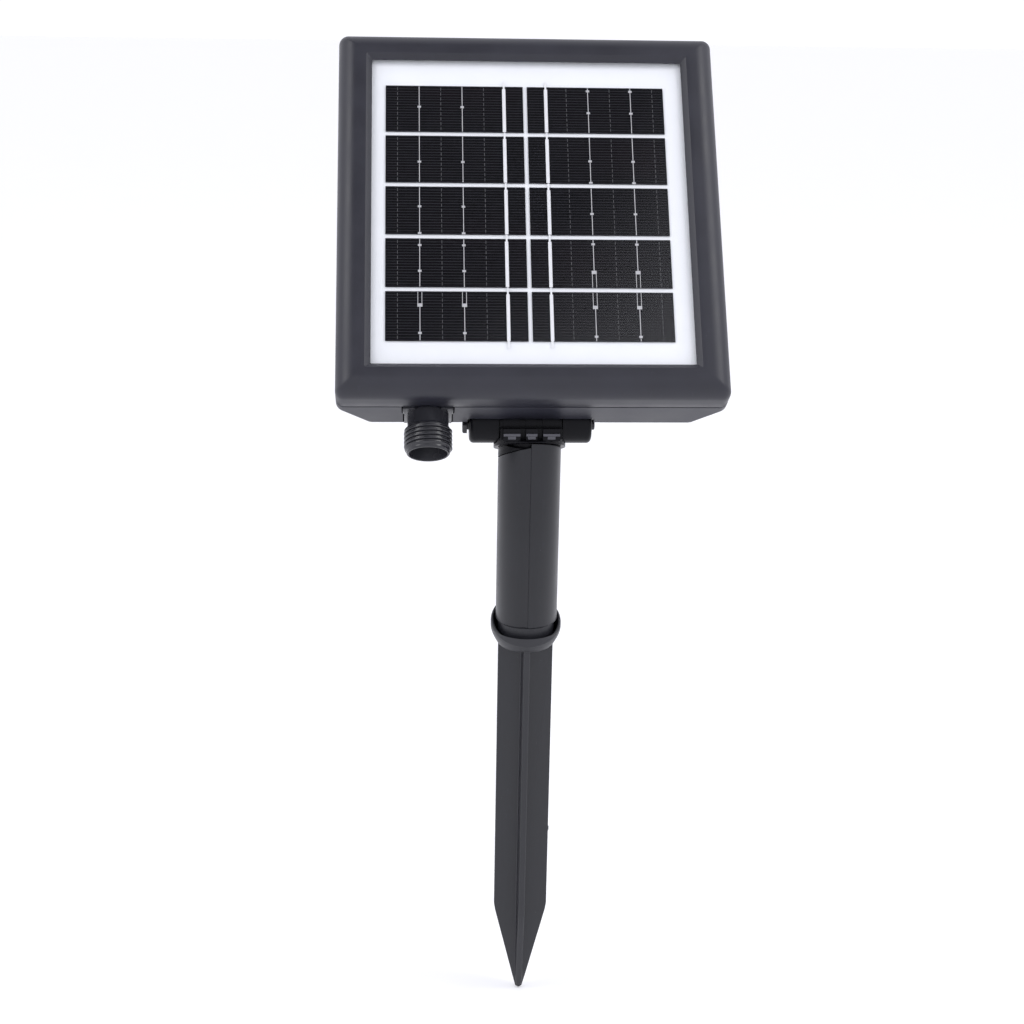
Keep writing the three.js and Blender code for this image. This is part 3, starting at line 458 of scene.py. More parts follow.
HOUSING = (0.0148, 0.0150, 0.0232)
# The shell's black plastic, lighter than the housing's: the extra lightness is painted light, for the
# floor's glow on the shell's underside.
SHELL_FLOOR_LIT = (0.0205, 0.0208, 0.0300)
SMOOTH = (0.0085, 0.0087, 0.0125)
# Painted light: a lighter copy of the smooth black plastic, for the light that falls on the outlet.
OUTLET_LIT = (0.0200, 0.0203, 0.0250)
# Painted shade: a darker copy of the smooth black plastic, for the shade that the panel casts on the bracket
# and the head.
BRACKET_SHADED = (0.0042, 0.0043, 0.0060)
# Painted highlight: a pale grey copy of the smooth black plastic, for the light that the head's ledges
# catch.
LEDGE_HIGHLIT = (0.060, 0.060, 0.072)
POLE = (0.0098, 0.0102, 0.0136)
STAKE = (0.0140, 0.0145, 0.0185)
looks = {
    "housing_black": moulded("housing_black", HOUSING, 0.40, 0.5, 0.03, panel=True),
    # shell: lighter than the housing, with painted light from the floor below
    "shell_black": moulded("shell_black", SHELL_FLOOR_LIT, 0.40, 0.5, 0.012, panel=True),
    "smooth_black": moulded("smooth_black", SMOOTH, 0.27, 0.9, 0.003, 0.7),
    # outlet: the smooth black plastic made lighter, as painted light
    "outlet_painted_light": moulded("outlet_painted_light", OUTLET_LIT, 0.25, 0.8, 0.003, 0.7),
    # bracket and head: the smooth black plastic darker and less glossy, as painted shade
    "bracket_painted_shade": moulded("bracket_painted_shade", BRACKET_SHADED, 0.34, 0.9, 0.004, 0.6, level=0.13),
    # ledges: the smooth black plastic made pale, as a painted highlight
    "ledge_painted_highlight": moulded("ledge_painted_highlight", LEDGE_HIGHLIT, 0.3, 0.7, 0.006, 0.8),
    "pole_black": moulded("pole_black", POLE, 0.36, 0.6, 0.006, 0.8, level=0.43),
    "stake_black": moulded("stake_black", STAKE, 0.42, 0.55, 0.008, 1.0),
    "clear_cover": cover_material(),
    "solar_cell": cell_material(),
    "white_backsheet": sheet("white_backsheet", (0.86, 0.88, 0.91), (0.91, 0.925, 0.95), 0.5, 12, 0.004),
    "tinned_ribbon": sheet("tinned_ribbon", (0.80, 0.81, 0.84), (0.92, 0.925, 0.94), 0.42, 1.2, 0.006,
                           Metallic=0.25),
    "thin_ribbon": sheet("thin_ribbon", (0.44, 0.44, 0.46), (0.62, 0.62, 0.64), 0.42, 1.2, 0.006,
                         Metallic=0.3),
    "printed_silver": sheet("printed_silver", (0.045, 0.045, 0.05), (0.11, 0.11, 0.12), 0.5, 0.9, 0.004),
    "rubber_seal": sheet("rubber_seal", (0.010, 0.010, 0.011), (0.018, 0.018, 0.019), 0.75, 3, 0.01),
    "battery_sleeve": sleeve_material(),
    "circuit_board": board_material(),
    "chip_black": sheet("chip_black", (0.008, 0.008, 0.009), (0.016, 0.016, 0.017), 0.5, 1.5, 0.006),
    "white_plastic": sheet("white_plastic", (0.72, 0.71, 0.66), (0.80, 0.79, 0.75), 0.45, 4, 0.004),
    "steel": metal("steel", (0.56, 0.57, 0.59), 0.3),
    "brass": metal("brass", (0.72, 0.53, 0.24), 0.28),
    "lead_red": sheet("lead_red", (0.33, 0.012, 0.010), (0.42, 0.02, 0.015), 0.45, 6, 0.004),
    "lead_black": sheet("lead_black", (0.010, 0.010, 0.011), (0.016, 0.016, 0.017), 0.45, 6, 0.004),
}


def dress_nodes():
    """Gives every CAD node the material of the slot that the record names for it."""
    for part in frame["record"]["subparts"]:
        node = frame["nodes"][part["node"]]
        node.data.materials.clear()
        node.data.materials.append(looks[part["material_slot"]])


# ------------------------------------------------------------------ panel: the housing

EDGE_R = 8.0                             # quarter round along the bezel's front edge
CORNER_R = 3.7
BEZEL_BACK = -15.5
WINDOW = (67.8, 72.3)                    # half width and half height
WINDOW_BEVEL = 2.4
LIP_BACK, POCKET_BACK = -2.4, -5.0
EDGE_STEPS = 14


def frame_ring(inset, z, r=None):
    """Ring round the panel, this far in from its outer wall."""
    if r is None:
        r = 0.5 + (CORNER_R - 0.5) * max(0.0, 1 - inset / EDGE_R) ** 1.5
    return rect_ring(PANEL_W / 2 - inset, inset, PANEL_H - inset, r, z)


def window_ring(out, z, r):
    """Ring round the window, this far out from its edge."""
    return rect_ring(WINDOW[0] + out, MID_Y - WINDOW[1] - out, MID_Y + WINDOW[1] + out, r, z)


def bezel():
    """Front frame: sloped window edge, flat front, quarter round, wall and inner pocket."""
    line = rounded([(0, LIP_BACK), (0, -2.1), (WINDOW_BEVEL, 0), (4.4, 0)], [0, 0.2, 0.5, 0], 3)
    rings = [window_ring(out, z, 0.5 + 0.12 * out) for out, z in line]
    for k in range(EDGE_STEPS + 1):
        a = math.radians(90 * k / EDGE_STEPS)
        inset = EDGE_R * (1 - math.sin(a))
        rings.append(frame_ring(inset, -EDGE_R * (1 - math.cos(a))))
    rings += [frame_ring(0, z) for z in (-11, BEZEL_BACK + 0.4)]
    rings += [frame_ring(inset, BEZEL_BACK + lift, 3.0) for inset, lift in ((0.12, 0.12), (0.4, 0))]
    rings += [frame_ring(WALL, z, 1.5) for z in (BEZEL_BACK, POCKET_BACK)]
    rings += [window_ring(5, z, 0.5) for z in (POCKET_BACK, LIP_BACK)]
    made = make("bezel", skin(rings, close=True), PANEL)
    smooth(made, 28)
    return piece(made, "panel", "housing_black", looks["housing_black"], "front_bezel")


SHELL_FRONT, SHELL_TAPER = -15.8, -20.0   # front edge, and where the sides begin to slope
SHELL_INSET = 12.0                        # how far the sides have come in at the back
SHELL_EDGE = 1.3
SCOOP_R, SCOOP_HALF = 8.7, 27.0           # hollow for the hinge
SCOOP_END_R, SCOOP_END_HALF = 5.0, 29.8   # its narrower ends, for the bolt's head and nut
FLANGE_HALF, FLANGE_STEP = 10.6, 0.55     # outlet's flange, and how much narrower its back half is


def shell_ring(depth, z, wall=0.0):
    """Ring round the rear shell; depth is how far its sides and top have come in."""
    half = PANEL_W / 2 - depth - wall
    return rect_ring(half, wall, PANEL_H - depth - wall, max(0.8, CORNER_R - wall), z)


def shell_skin():
    """The shell as a plain tray with sloping sides and a rounded back edge."""
    side = rounded([(0.0, SHELL_FRONT - 0.3), (0.0, SHELL_TAPER), (SHELL_INSET, SHELL_BACK)],
                   [0, 2.2, 0], 5)
    outer = [shell_ring(0.3, SHELL_FRONT)] + [shell_ring(d, z) for d, z in side[:-1]]
    steep = SHELL_INSET / (SHELL_TAPER - SHELL_BACK)
    for k in range(6):
        a = math.radians(90 * k / 5)
        z = SHELL_BACK + SHELL_EDGE * (1 - math.sin(a))
        give = SHELL_EDGE * (1 - math.cos(a))
        depth = SHELL_INSET - (z - SHELL_BACK) * steep + give * 0.9
        outer.append(rect_ring(PANEL_W / 2 - depth, give, PANEL_H - depth, CORNER_R, z))
    floors = ((0, SHELL_FRONT), (0.5, SHELL_TAPER + 1), (SHELL_INSET - 0.8, SHELL_BACK + WALL))
    inner = [shell_ring(d, z, WALL) for d, z in floors]
    return skin(list(reversed(inner)) + outer)


def shell():
    """Rear shell with its screw posts, outlet notch and the scoop for the hinge."""
    made = make("shell", shell_skin(), PANEL)
    scoop_at = (0, *AXIS)
    pads = [rod(3.4, (SHELL_BACK + 1, SHELL_BACK + 8), (x, y, 0)) for x, y in BRACKET_SCREWS]
    posts = [rod(4.8, (-28.6, -16.6), (x, y, 0)) for x, y in HOUSING_SCREWS]
    wall = [rod(r + WALL, (-half - WALL, half + WALL), scoop_at, "x")
            for r, half in ((SCOOP_R, SCOOP_HALF), (SCOOP_END_R, SCOOP_END_HALF))]
    # the posts and the scoop's wall end inside the shell's own wall
    within = 0.8
    limits = ((0, SHELL_FRONT - within), (0, SHELL_TAPER), (SHELL_INSET - 0.7, SHELL_BACK + within))
    for solid in [*wall, *posts]:
        add = make("add", solid, PANEL)
        combine(add, [skin([shell_ring(d, z, within) for d, z in limits])], "INTERSECT")
        combine(made, [taken(add)], "UNION")
    combine(made, pads, "UNION")
    wide, narrow = FLANGE_HALF + 0.5, FLANGE_HALF + 0.5 - FLANGE_STEP
    notch = [block((OUTLET_X - wide, OUTLET_X + wide), (-1, 3.2), (-22.1, -15)),
             block((OUTLET_X - narrow, OUTLET_X + narrow), (-1, 3.2), (-32.5, -21.6))]
    wells = [rod(3.4, (-40, -22), (x, y, 0)) for x, y in HOUSING_SCREWS]
    holes = [rod(1.8, (-40, -27), (x, y, 0), n=24) for x, y in BRACKET_SCREWS]
    shafts = [rod(1.9, (-30, -10), (x, y, 0), n=24) for x, y in HOUSING_SCREWS]
    combine(made, [rod(SCOOP_R, (-SCOOP_HALF, SCOOP_HALF), scoop_at, "x", 96),
                   rod(SCOOP_END_R, (-SCOOP_END_HALF, SCOOP_END_HALF), scoop_at, "x"),
                   *notch, *wells, *holes, *shafts], "DIFFERENCE")
    soften(made, 0.25, 2, 40)
    return piece(made, "panel", "shell_black", looks["shell_black"], "rear_shell")


# ------------------------------------------------------------------ panel: the outlet

OUTLET_LEN = 18.3
NECK_LEN = 6.6
THREAD_R, ROOT_R, NECK_R, BORE_R = 10.15, 9.2, 8.7, 7.1
MOUTH_R, MOUTH_DEEP = 8.1, 8.4            # wider bore from the mouth up to this level
INNER_R, INNER_END = 7.9, -11             # wider end of the outlet inside the housing
THREAD_PITCH = 1.85
ROW_STEP, ROWS = 0.11, 94                 # rings along the threaded part


def thread_radius(down, angle):
    """Radius of the threaded part at a distance below the wall."""
    first, last = NECK_LEN + 0.9, OUTLET_LEN - 1.5
    phase = ((down - first) / THREAD_PITCH - angle / (2 * math.pi)) % 1
    # flat crest with sloping flanks, which runs out at both ends of the thread
    rise = max(0.0, min(1.0, 1.75 - abs(phase - 0.5) * 5.2))
    rise = rise * rise * (3 - 2 * rise)
    run_out = min(1.0, max(0.0, (down - first + 0.4) / 0.8), max(0.0, (last + 0.3 - down) / 0.9))
    return ROOT_R + (THREAD_R - ROOT_R) * rise * run_out


def outlet_rings():
    """Rings down the outside of the outlet, over its end and back up its bore."""
    neck = [(NECK_R, -0.35), (NECK_R, 1.0), (NECK_R, NECK_LEN - 0.5), (NECK_R + 0.08, NECK_LEN - 0.2),
            (ROOT_R - 0.1, NECK_LEN + 0.3), (ROOT_R, NECK_LEN + 0.6)]
    thread = [(None, NECK_LEN + 0.6 + ROW_STEP * (k + 1)) for k in range(ROWS)]
    end = [(ROOT_R - 0.12, OUTLET_LEN - 0.4), (ROOT_R - 0.45, OUTLET_LEN - 0.05),
           (ROOT_R - 0.55, OUTLET_LEN), (MOUTH_R + 0.28, OUTLET_LEN),
           (MOUTH_R + 0.08, OUTLET_LEN - 0.08), (MOUTH_R, OUTLET_LEN - 0.3)]
    bore = [(MOUTH_R, MOUTH_DEEP + 0.2), (MOUTH_R - 0.2, MOUTH_DEEP), (BORE_R + 0.2, MOUTH_DEEP),
            (BORE_R, MOUTH_DEEP - 0.2), (BORE_R, 4), (BORE_R, INNER_END),
            (INNER_R - 0.15, INNER_END), (INNER_R, INNER_END + 0.2), (INNER_R, -0.5)]
    rings = []
    for r, down in neck + thread + end + bore:
        ring = []
        for a in angles(112):
            radius = thread_radius(down, a) if r is None else r
            ring.append((OUTLET_X + radius * math.cos(a), -down, OUTLET_Z + radius * math.sin(a)))
        rings.append(ring)
    return rings


def outlet():
    """Threaded outlet with the flange that slides into the shell's notch."""
    made = make("outlet", skin(outlet_rings(), close=True), PANEL)
    plates = [block((OUTLET_X - half, OUTLET_X + half), y, z) for half, y, z in
              ((FLANGE_HALF, (-0.6, 3), (-21.8, -16.1)),
               (FLANGE_HALF - FLANGE_STEP, (-0.6, 3), (-32.2, -21)),
               (FLANGE_HALF + 0.9, (2.5, 4.1), (-31.0, -16.1)))]
    plate = make("plate", plates[0], PANEL)
    combine(plate, plates[1:], "UNION")
    combine(plate, [rod(7.6, (-1, 6), (OUTLET_X, 0, OUTLET_Z), "y")], "DIFFERENCE")
    soften(plate, 0.25, 2)
    combine(made, [taken(plate)], "UNION")
    smooth(made, 40)
    # the outlet's colour is painted light
    return piece(made, "panel", "smooth_black", looks["outlet_painted_light"], "outlet_socket")


# -------------------------------------------------------------------- panel: the cells

def strip(x, y, z, width, height, thick):
    """Thin strip with its long edges bevelled."""
    w, e = width / 2, min(width * 0.2, 0.08)
    ring = [(-w, 0), (w, 0), (w, thick * 0.5), (w - e, thick), (-w + e, thick), (-w, thick * 0.5)]
    return skin([[(x + px, py, z + pz) for px, pz in ring] for py in (y - height / 2, y + height / 2)])


CELL_TOP = -3.9
PRINT_Z = CELL_TOP + 0.01
CELL_H = 22.8
THIN, SOLID_W, FORK_HALF = 0.22, 0.3, 0.85   # widths of the printed lines, and of a fork's half
PRINTED = {"left": (-56.7, -37.9, -19.2), "right": (17.0, 36.0, 54.8)}
SOLID = {"left": (-47.3, -28.6), "right": (26.5, 45.2)}
RIBBON_X = {"left": -10.3, "right": 8.0}
# solder pads on the solid lines, as shares of a cell's height from its top
PADS = {"left": ((0.46,), (0.56,), (0.42, 0.99), (0.14, 0.67), (0.28, 0.84)),
        "right": ((0.08, 0.56), (0.52, 0.99), (0.55,), (0.1, 0.68), (0.31, 0.9))}
# where a line splits in two: row, share of the height where the split starts, and where it ends
FORKS = {"left": ((4, 0.0, 0.28),), "right": ((3, 0.68, 1.0), (4, 0.0, 0.31))}


def row_top(row):
    """Upper edge of the cells in a row, counted from the top."""
    return ARRAY_Y + (2 - row) * CELL_PITCH + CELL_H / 2


def dash_pieces(side, row):
    """The thin dashed lines printed on one cell."""
    middles = [row_top(row) - 1.6 - k * 2.45 for k in range(9)]
    return [strip(x, y, PRINT_Z, THIN, 1.5, 0.03) for x in PRINTED[side] for y in middles]


def line_pieces(side, row):
    """The solid lines and solder pads of one cell."""
    parts = []
    top = row_top(row)
    fork = next((f for f in FORKS[side] if f[0] == row), None)
    for x in SOLID[side]:
        low, high = top - CELL_H + 0.2, top - 0.2
        if fork:
            edge = top - CELL_H * (fork[2] if fork[1] == 0 else fork[1])
            span = (edge, high) if fork[1] == 0 else (low, edge)
            for dx in (-FORK_HALF, FORK_HALF):
                parts.append(strip(x + dx, sum(span) / 2, PRINT_Z, THIN, span[1] - span[0], 0.04))
            if fork[1] == 0:
                high = edge
            else:
                low = edge
        parts.append(strip(x, (low + high) / 2, PRINT_Z, SOLID_W, high - low, 0.06))
        for share in PADS[side][row]:
            at_fork = fork and abs(share - (fork[1] or fork[2])) < 0.02
            wide, tall = (2.1, 1.5) if at_fork else (1.5, 0.9)
            y = min(top - 0.5, max(top - CELL_H + 0.5, top - CELL_H * share))
            parts.append(strip(x, y, PRINT_Z, wide, tall, 0.1))
    return parts


def ribbon_pieces(side):
    """The wide ribbon, laid cell by cell and joined by thin links over the gaps."""
    rng = random.Random(7 if side == "left" else 11)
    parts = []
    x = RIBBON_X[side]
    for row in range(5):
        top = row_top(row)
        shift = rng.uniform(-0.14, 0.14)
        parts.append(strip(x + shift, top - CELL_H / 2 - 0.6, CELL_TOP + 0.1, 1.5, CELL_H - 1.5, 0.2))
        parts.append(strip(x + shift * 0.5, top + 0.4, CELL_TOP - 0.02, 0.8, 3.2, 0.08))
    parts.append(strip(x, row_top(4) - CELL_H - 1.4, CELL_TOP + 0.02, 1.1, 3.4, 0.12))
    parts.append(strip(x, row_top(0) + 1.7, CELL_TOP + 0.02, 1.1, 2.0, 0.12))
    return parts


def cell_lines():
    """Lines, dashes and ribbons over the left and right cells, a piece of each for a side."""
    for side in ("left", "right"):
        parts = [p for row in range(5) for p in line_pieces(side, row)]
        made = make(f"cell_lines_{side}", merged(*parts), PANEL)
        piece(made, "panel", "tinned_ribbon", looks["thin_ribbon"])
        dashes = [p for row in range(5) for p in dash_pieces(side, row)]
        made = make(f"cell_dashes_{side}", merged(*dashes), PANEL)
        piece(made, "panel", "solar_cell", looks["printed_silver"])
        made = make(f"ribbon_{side}", merged(*ribbon_pieces(side)), PANEL)
        piece(made, "panel", "tinned_ribbon", looks["tinned_ribbon"], f"cell_ribbon_{side}")


# ---------------------------------------------------------------- bracket and fasteners

EAR_X = (13.6, 26.2)                      # inner and outer face
EAR_R, EAR_EDGE = 8.0, 2.0
BRACKET_Z = (-36.8, -33.8)
BRACKET_Y = (12.0, 44.0)


def ear_ring(x, inset):
    """Outline of an ear and its web, drawn in by the inset."""
    y, z = AXIS
    r = EAR_R - inset
    first = math.degrees(math.asin((BRACKET_Z[1] - z) / r))
    ring = []
    for k in range(37):
        a = math.radians(first + (270 - first) * k / 36)
        ring.append((x, y + r * math.cos(a), z + r * math.sin(a)))
    ring += [(x, y + 20 - inset, BRACKET_Z[0] - 0.5 + inset * 0.3), (x, y + 20 - inset, BRACKET_Z[1])]
    return ring


def ear(side):
    """Ear of the bracket with its outer edge rounded."""
    rings = [ear_ring(side * EAR_X[0], 0), ear_ring(side * (EAR_X[1] - EAR_EDGE), 0)]
    for k in range(1, 7):
        a = math.radians(90 * k / 6)
        x = side * (EAR_X[1] - EAR_EDGE * (1 - math.sin(a)))
        rings.append(ear_ring(x, EAR_EDGE * (1 - math.cos(a))))
    return skin(rings)


def bracket():
    """Plate on the shell's back with a rib, and two ears round the hinge axis."""
    made = make("bracket", block((-EAR_X[1], EAR_X[1]), BRACKET_Y, BRACKET_Z), PANEL)
    rib = block((-2, 2), (16, 41), (-38.8, -34.8))
    combine(made, [ear(-1), ear(1), rib], "UNION")
    y, z = AXIS
    seat = rod(4.6, (22.6, 27.5), (0, y, z), "x", 6)
    ridges = [block((s * 17.8 - 0.35, s * 17.8 + 0.35), (-12, 30), (-48, -44.6)) for s in (-1, 1)]
    between = block((-EAR_X[0], EAR_X[0]), (-20, 12.5), (-60, -20))
    bore = rod(2.7, (-40, 40), (0, y, z), "x", 32)
    holes = [rod(2.1, (-50, -20), (*spot, 0), n=32) for spot in BRACKET_SCREWS]
    combine(made, [between, bore, seat, *ridges, *holes], "DIFFERENCE")
    soften(made, 0.5, 3)
    # the bracket's colour is painted shade
    return piece(made, "panel", "smooth_black", looks["bracket_painted_shade"], "hinge_bracket")


def screw(name, head_r, head_t, shank_r, length, x, y, z, node):
    """Cross-recess pan screw pointing into the housing, its head's rim at z."""
    head = rounded([(0, -head_t), (head_r * 0.8, -head_t), (head_r, -head_t * 0.3), (head_r, 0)],
                   [0, head_r * 0.5, head_t * 0.2, 0], 4)
    line = head + [(shank_r, 0)]
    pitch, ridge = 0.9, 0.18
    for k in range(int((length - 2) / pitch)):
        low = 0.5 + k * pitch
        line += [(shank_r, low), (shank_r + ridge, low + 0.3), (shank_r, low + 0.6)]
    line += [(shank_r * 0.4, length), (0, length)]
    made = make(name, turned(line, 32, (x, y, z)), PANEL)
    arm, slot = head_r * 0.6, head_r * 0.14
    deep = (z - head_t - 1, z - head_t * 0.4)
    combine(made, [block((x - arm, x + arm), (y - slot, y + slot), deep),
                   block((x - slot, x + slot), (y - arm, y + arm), deep)], "DIFFERENCE")
    soften(made, 0.06, 2, 40)
    return piece(made, "panel", "steel", looks["steel"], node)


def fasteners():
    """The screws of the bracket and the housing, and the hinge bolt with its hexagonal head."""
    for i, (x, y) in enumerate(BRACKET_SCREWS, 1):
        screw(f"bracket_pan_screw_{i}", 3.4, 2.0, 1.5, 9, x, y, BRACKET_Z[0] - 0.3, f"bracket_screw_{i}")
    for i, (x, y) in enumerate(HOUSING_SCREWS, 1):
        screw(f"corner_pan_screw_{i}", 2.9, 1.8, 1.2, 13.5, x, y, -22.3, f"housing_screw_{i}")
    y, z = AXIS
    bolt = make("hinge_bolt", rod(2.35, (-27.2, 27.8), (0, y, z), "x", 32, 0.3), PANEL)
    head = turned([(0, -29.1), (3.6, -29.1), (4.15, -28.7), (4.2, -27.1), (0, -27.1)], 6, (0, y, z), "x")
    combine(bolt, [head], "UNION")
    soften(bolt, 0.2, 2)
    piece(bolt, "panel", "smooth_black", looks["smooth_black"], "pivot_bolt")


# ----------------------------------------------------------------- head, pole and stake

HEAD_R, HEAD_TOP, HEAD_RIM = 15.5, 96.6, 89.7
NOSE_FRONT, LUG_FRONT, LUG_BACK = 11.3, 13.8, 8.5
LUG_TOP = (100.5, 101.6)                  # height of a lug at its back and at its front
LUGS = ((-12.0, -4.8), (-2.4, 2.4), (4.8, 12.0))
SIDE_RELIEF, SIDE_STEP = 0.2, 1.7         # slope and depth of the pole's lower left rim
SLEEVE = ((13.5, 80), (13.5, 87.5), (12.9, 92.5))
BARREL_R, BARREL_HALF = 7.6, 13.2
TUBE_R, TUBE_BORE_R, TUBE_BOTTOM = 13.7, 11.5, 10.9
SPIGOT_R = 11.1


def under_slope(height, slope, lean=0.0):
    """Large block under the plane z = height + slope * y + lean * x."""
    corners = ((-60, -60), (60, -60), (60, 60), (-60, 60))
    return skin([[(x, y, 40) for x, y in corners],
                 [(x, y, height + slope * y + lean * x) for x, y in corners]])


def nose(front, x):
    """Solid from the hinge axis to this far in front of it, with a sloping top."""
    slope = (LUG_TOP[1] - LUG_TOP[0]) / (LUG_FRONT - LUG_BACK)
    return prism([(0, HEAD_TOP - 1), (0, HINGE_HEIGHT), (-LUG_BACK, LUG_TOP[0]),
                  (-front, LUG_TOP[0] + (front - LUG_BACK) * slope), (-front, HEAD_TOP - 0.25),
                  (-front + 1, HEAD_TOP - 1)], x)


def half_sleeve():
    """Left half of a sleeve, which shows above the pole's lower left rim."""
    made = make("sleeve", turned([(0, SLEEVE[0][1]), *SLEEVE, (0, SLEEVE[-1][1])], 112))
    combine(made, [under_slope(HEAD_RIM - SIDE_STEP, -OBLIQUE, SIDE_RELIEF),
                   block((-0.3, 40), (-40, 40), (60, 120))], "DIFFERENCE")
    return taken(made)


def head():
    """Cap on the pole with a barrel for the bolt, three lugs in front and a spigot below."""
    outline = rounded([(0, 78), (HEAD_R, 78), (HEAD_R, HEAD_TOP), (0, HEAD_TOP)], [0, 0, 0.9, 0])
    made = make("head", turned(outline, 112))
    at = (0, 0, HINGE_HEIGHT)
    across = (-BARREL_HALF, BARREL_HALF)
    combine(made, [block(across, (-BARREL_R, BARREL_R), (HEAD_TOP - 6, HINGE_HEIGHT)),
                   rod(BARREL_R, across, at, "x", 72)], "UNION")
    combine(made, [nose(NOSE_FRONT, across), *[nose(LUG_FRONT, x) for x in LUGS]], "UNION")
    combine(made, [under_slope(HEAD_RIM, -OBLIQUE)], "DIFFERENCE")
    parts = [rod(BARREL_R + 0.5, (x0 + 0.2, x1 - 0.2), at, "x", 72) for x0, x1 in LUGS]
    parts.append(turned(rounded([(0, 65), (SPIGOT_R, 65), (SPIGOT_R, 95), (0, 95)], [0, 1.2, 0, 0]), 96))
    parts.append(half_sleeve())
    combine(made, parts, "UNION")
    rooms = []
    for s in (-1, 1):
        rooms.append(rod(EAR_R + 0.5, sorted((s * 40, s * BARREL_HALF)), at, "x", 96))
        rooms.append(rod(6.6, sorted((s * (BARREL_HALF - 0.75), s * 14.2)), at, "x"))
    hollow = turned([(0, 60), (8.7, 60), (8.7, 86), (0, 88)], 64)
    combine(made, [rod(2.48, (-40, 40), at, "x", 32), *rooms, hollow], "DIFFERENCE")
    soften(made, 0.3, 2)
    # the head's colour is painted shade
    return piece(made, "head", "smooth_black", looks["bracket_painted_shade"], "tilt_head")


def head_ledges():
    """Stepped ledges that stand proud of the lugs' front faces."""
    front = -LUG_FRONT - 0.6
    ledges = []
    for x0, x1 in LUGS:
        middle = (x0 + x1) / 2
        ledges.append(block((x0, x1), (front, front + 2), (HEAD_TOP + 1.9, HEAD_TOP + 3.1)))
        ledges.append(block((middle - 1.7, middle + 1.7), (front + 0.2, front + 2),
                            (HEAD_TOP + 0.5, HEAD_TOP + 2.4)))
    made = make("head_ledges", ledges[0])
    combine(made, ledges[1:], "UNION")
    soften(made, 0.2, 2)
    # the ledges' colour is a painted highlight
    return piece(made, "head", "smooth_black", looks["ledge_painted_highlight"])


def seam_angles(n):
    """Angles round a moulding with close pairs at its front and back seams."""
    gap = math.radians(0.35)
    spread = [math.radians(-90) + 2 * math.pi * k / n for k in range(1, n) if k != n // 2]
    seams = [math.radians(a) + d for a in (-90, 90) for d in (-gap, gap)]
    return sorted(a % (2 * math.pi) for a in spread + seams)


MOULD_STEP = 0.25                         # how far the pole's left half lies in
SINK_AT, SINK_DEEP, SINK_WIDE = math.radians(262), 0.45, 0.11   # hollow beside the front seam


def tube():
    """Pole with its oblique top, and a fine step where the mould's halves meet."""
    lip = 0.45
    seat = HEAD_RIM - 0.3
    line = [(TUBE_BORE_R, 0, lip), (TUBE_BORE_R + lip * 0.3, 0, lip * 0.3), (TUBE_BORE_R + lip, 0, 0),
            (TUBE_R - lip, 0, 0), (TUBE_R - lip * 0.3, 0, lip * 0.3), (TUBE_R, 0, lip)]
    line += [(r, 1, -z) for r, _, z in reversed(line)]
    turns = seam_angles(144)
    rings = []
    for r, top, z in line:
        ring = []
        for a in turns:
            left = math.cos(a) < 0
            outside = r > (TUBE_BORE_R + TUBE_R) / 2
            sink = SINK_DEEP * math.exp(-((a - SINK_AT) / SINK_WIDE) ** 2)
            radius = r - (MOULD_STEP + sink if left and outside else 0)
            x, y = radius * math.cos(a), radius * math.sin(a)
            edge = seat - OBLIQUE * y - (SIDE_STEP + SIDE_RELIEF * abs(x) if left else 0)
            ring.append((x, y, z + (edge if top else TUBE_BOTTOM)))
        rings.append(ring)
    made = make("tube", skin(rings, close=True))
    smooth(made, 30)
    return piece(made, "pole", "pole_black", looks["pole_black"], "pole_tube")


COLLAR_R, COLLAR_BORE_R, COLLAR_RIM = 15.6, 14.2, 10.4
BLADE_HALF, FIN_HALF = 12.2, 1.55
SHOULDER, TIP = -133.4, -177.1


def cross_ring(half, z):
    """Section through the blade: four fins, thinner towards their edges."""
    root = min(FIN_HALF * 1.12, half * 0.62)
    edge = min(FIN_HALF * 0.86, half * 0.5)
    quarter = [(half, -edge), (half, edge), (root, root)]
    points = []
    for c, s in ((1, 0), (0, 1), (-1, 0), (0, -1)):
        points += [(x * c - y * s, x * s + y * c) for x, y in quarter]
    radii = [0.42, 0.42, 0.7] * 4
    return [(x, y, z) for x, y in rounded(points, radii, 3, closed=True)]


def blade():
    """Cross-shaped blade that narrows from its shoulder to a blunt tip."""
    levels = [(BLADE_HALF, z) for z in (1.0, SHOULDER + 23.4, SHOULDER + 1.2)]
    levels.append((BLADE_HALF - 0.12, SHOULDER + 0.4))
    for k in range(9):
        t = (k + 0.4) / 8.4
        levels.append((BLADE_HALF + (1.5 - BLADE_HALF) * t, SHOULDER + (TIP + 0.5 - SHOULDER) * t))
    levels.append((0.8, TIP))
    return skin([cross_ring(half, z) for half, z in levels])


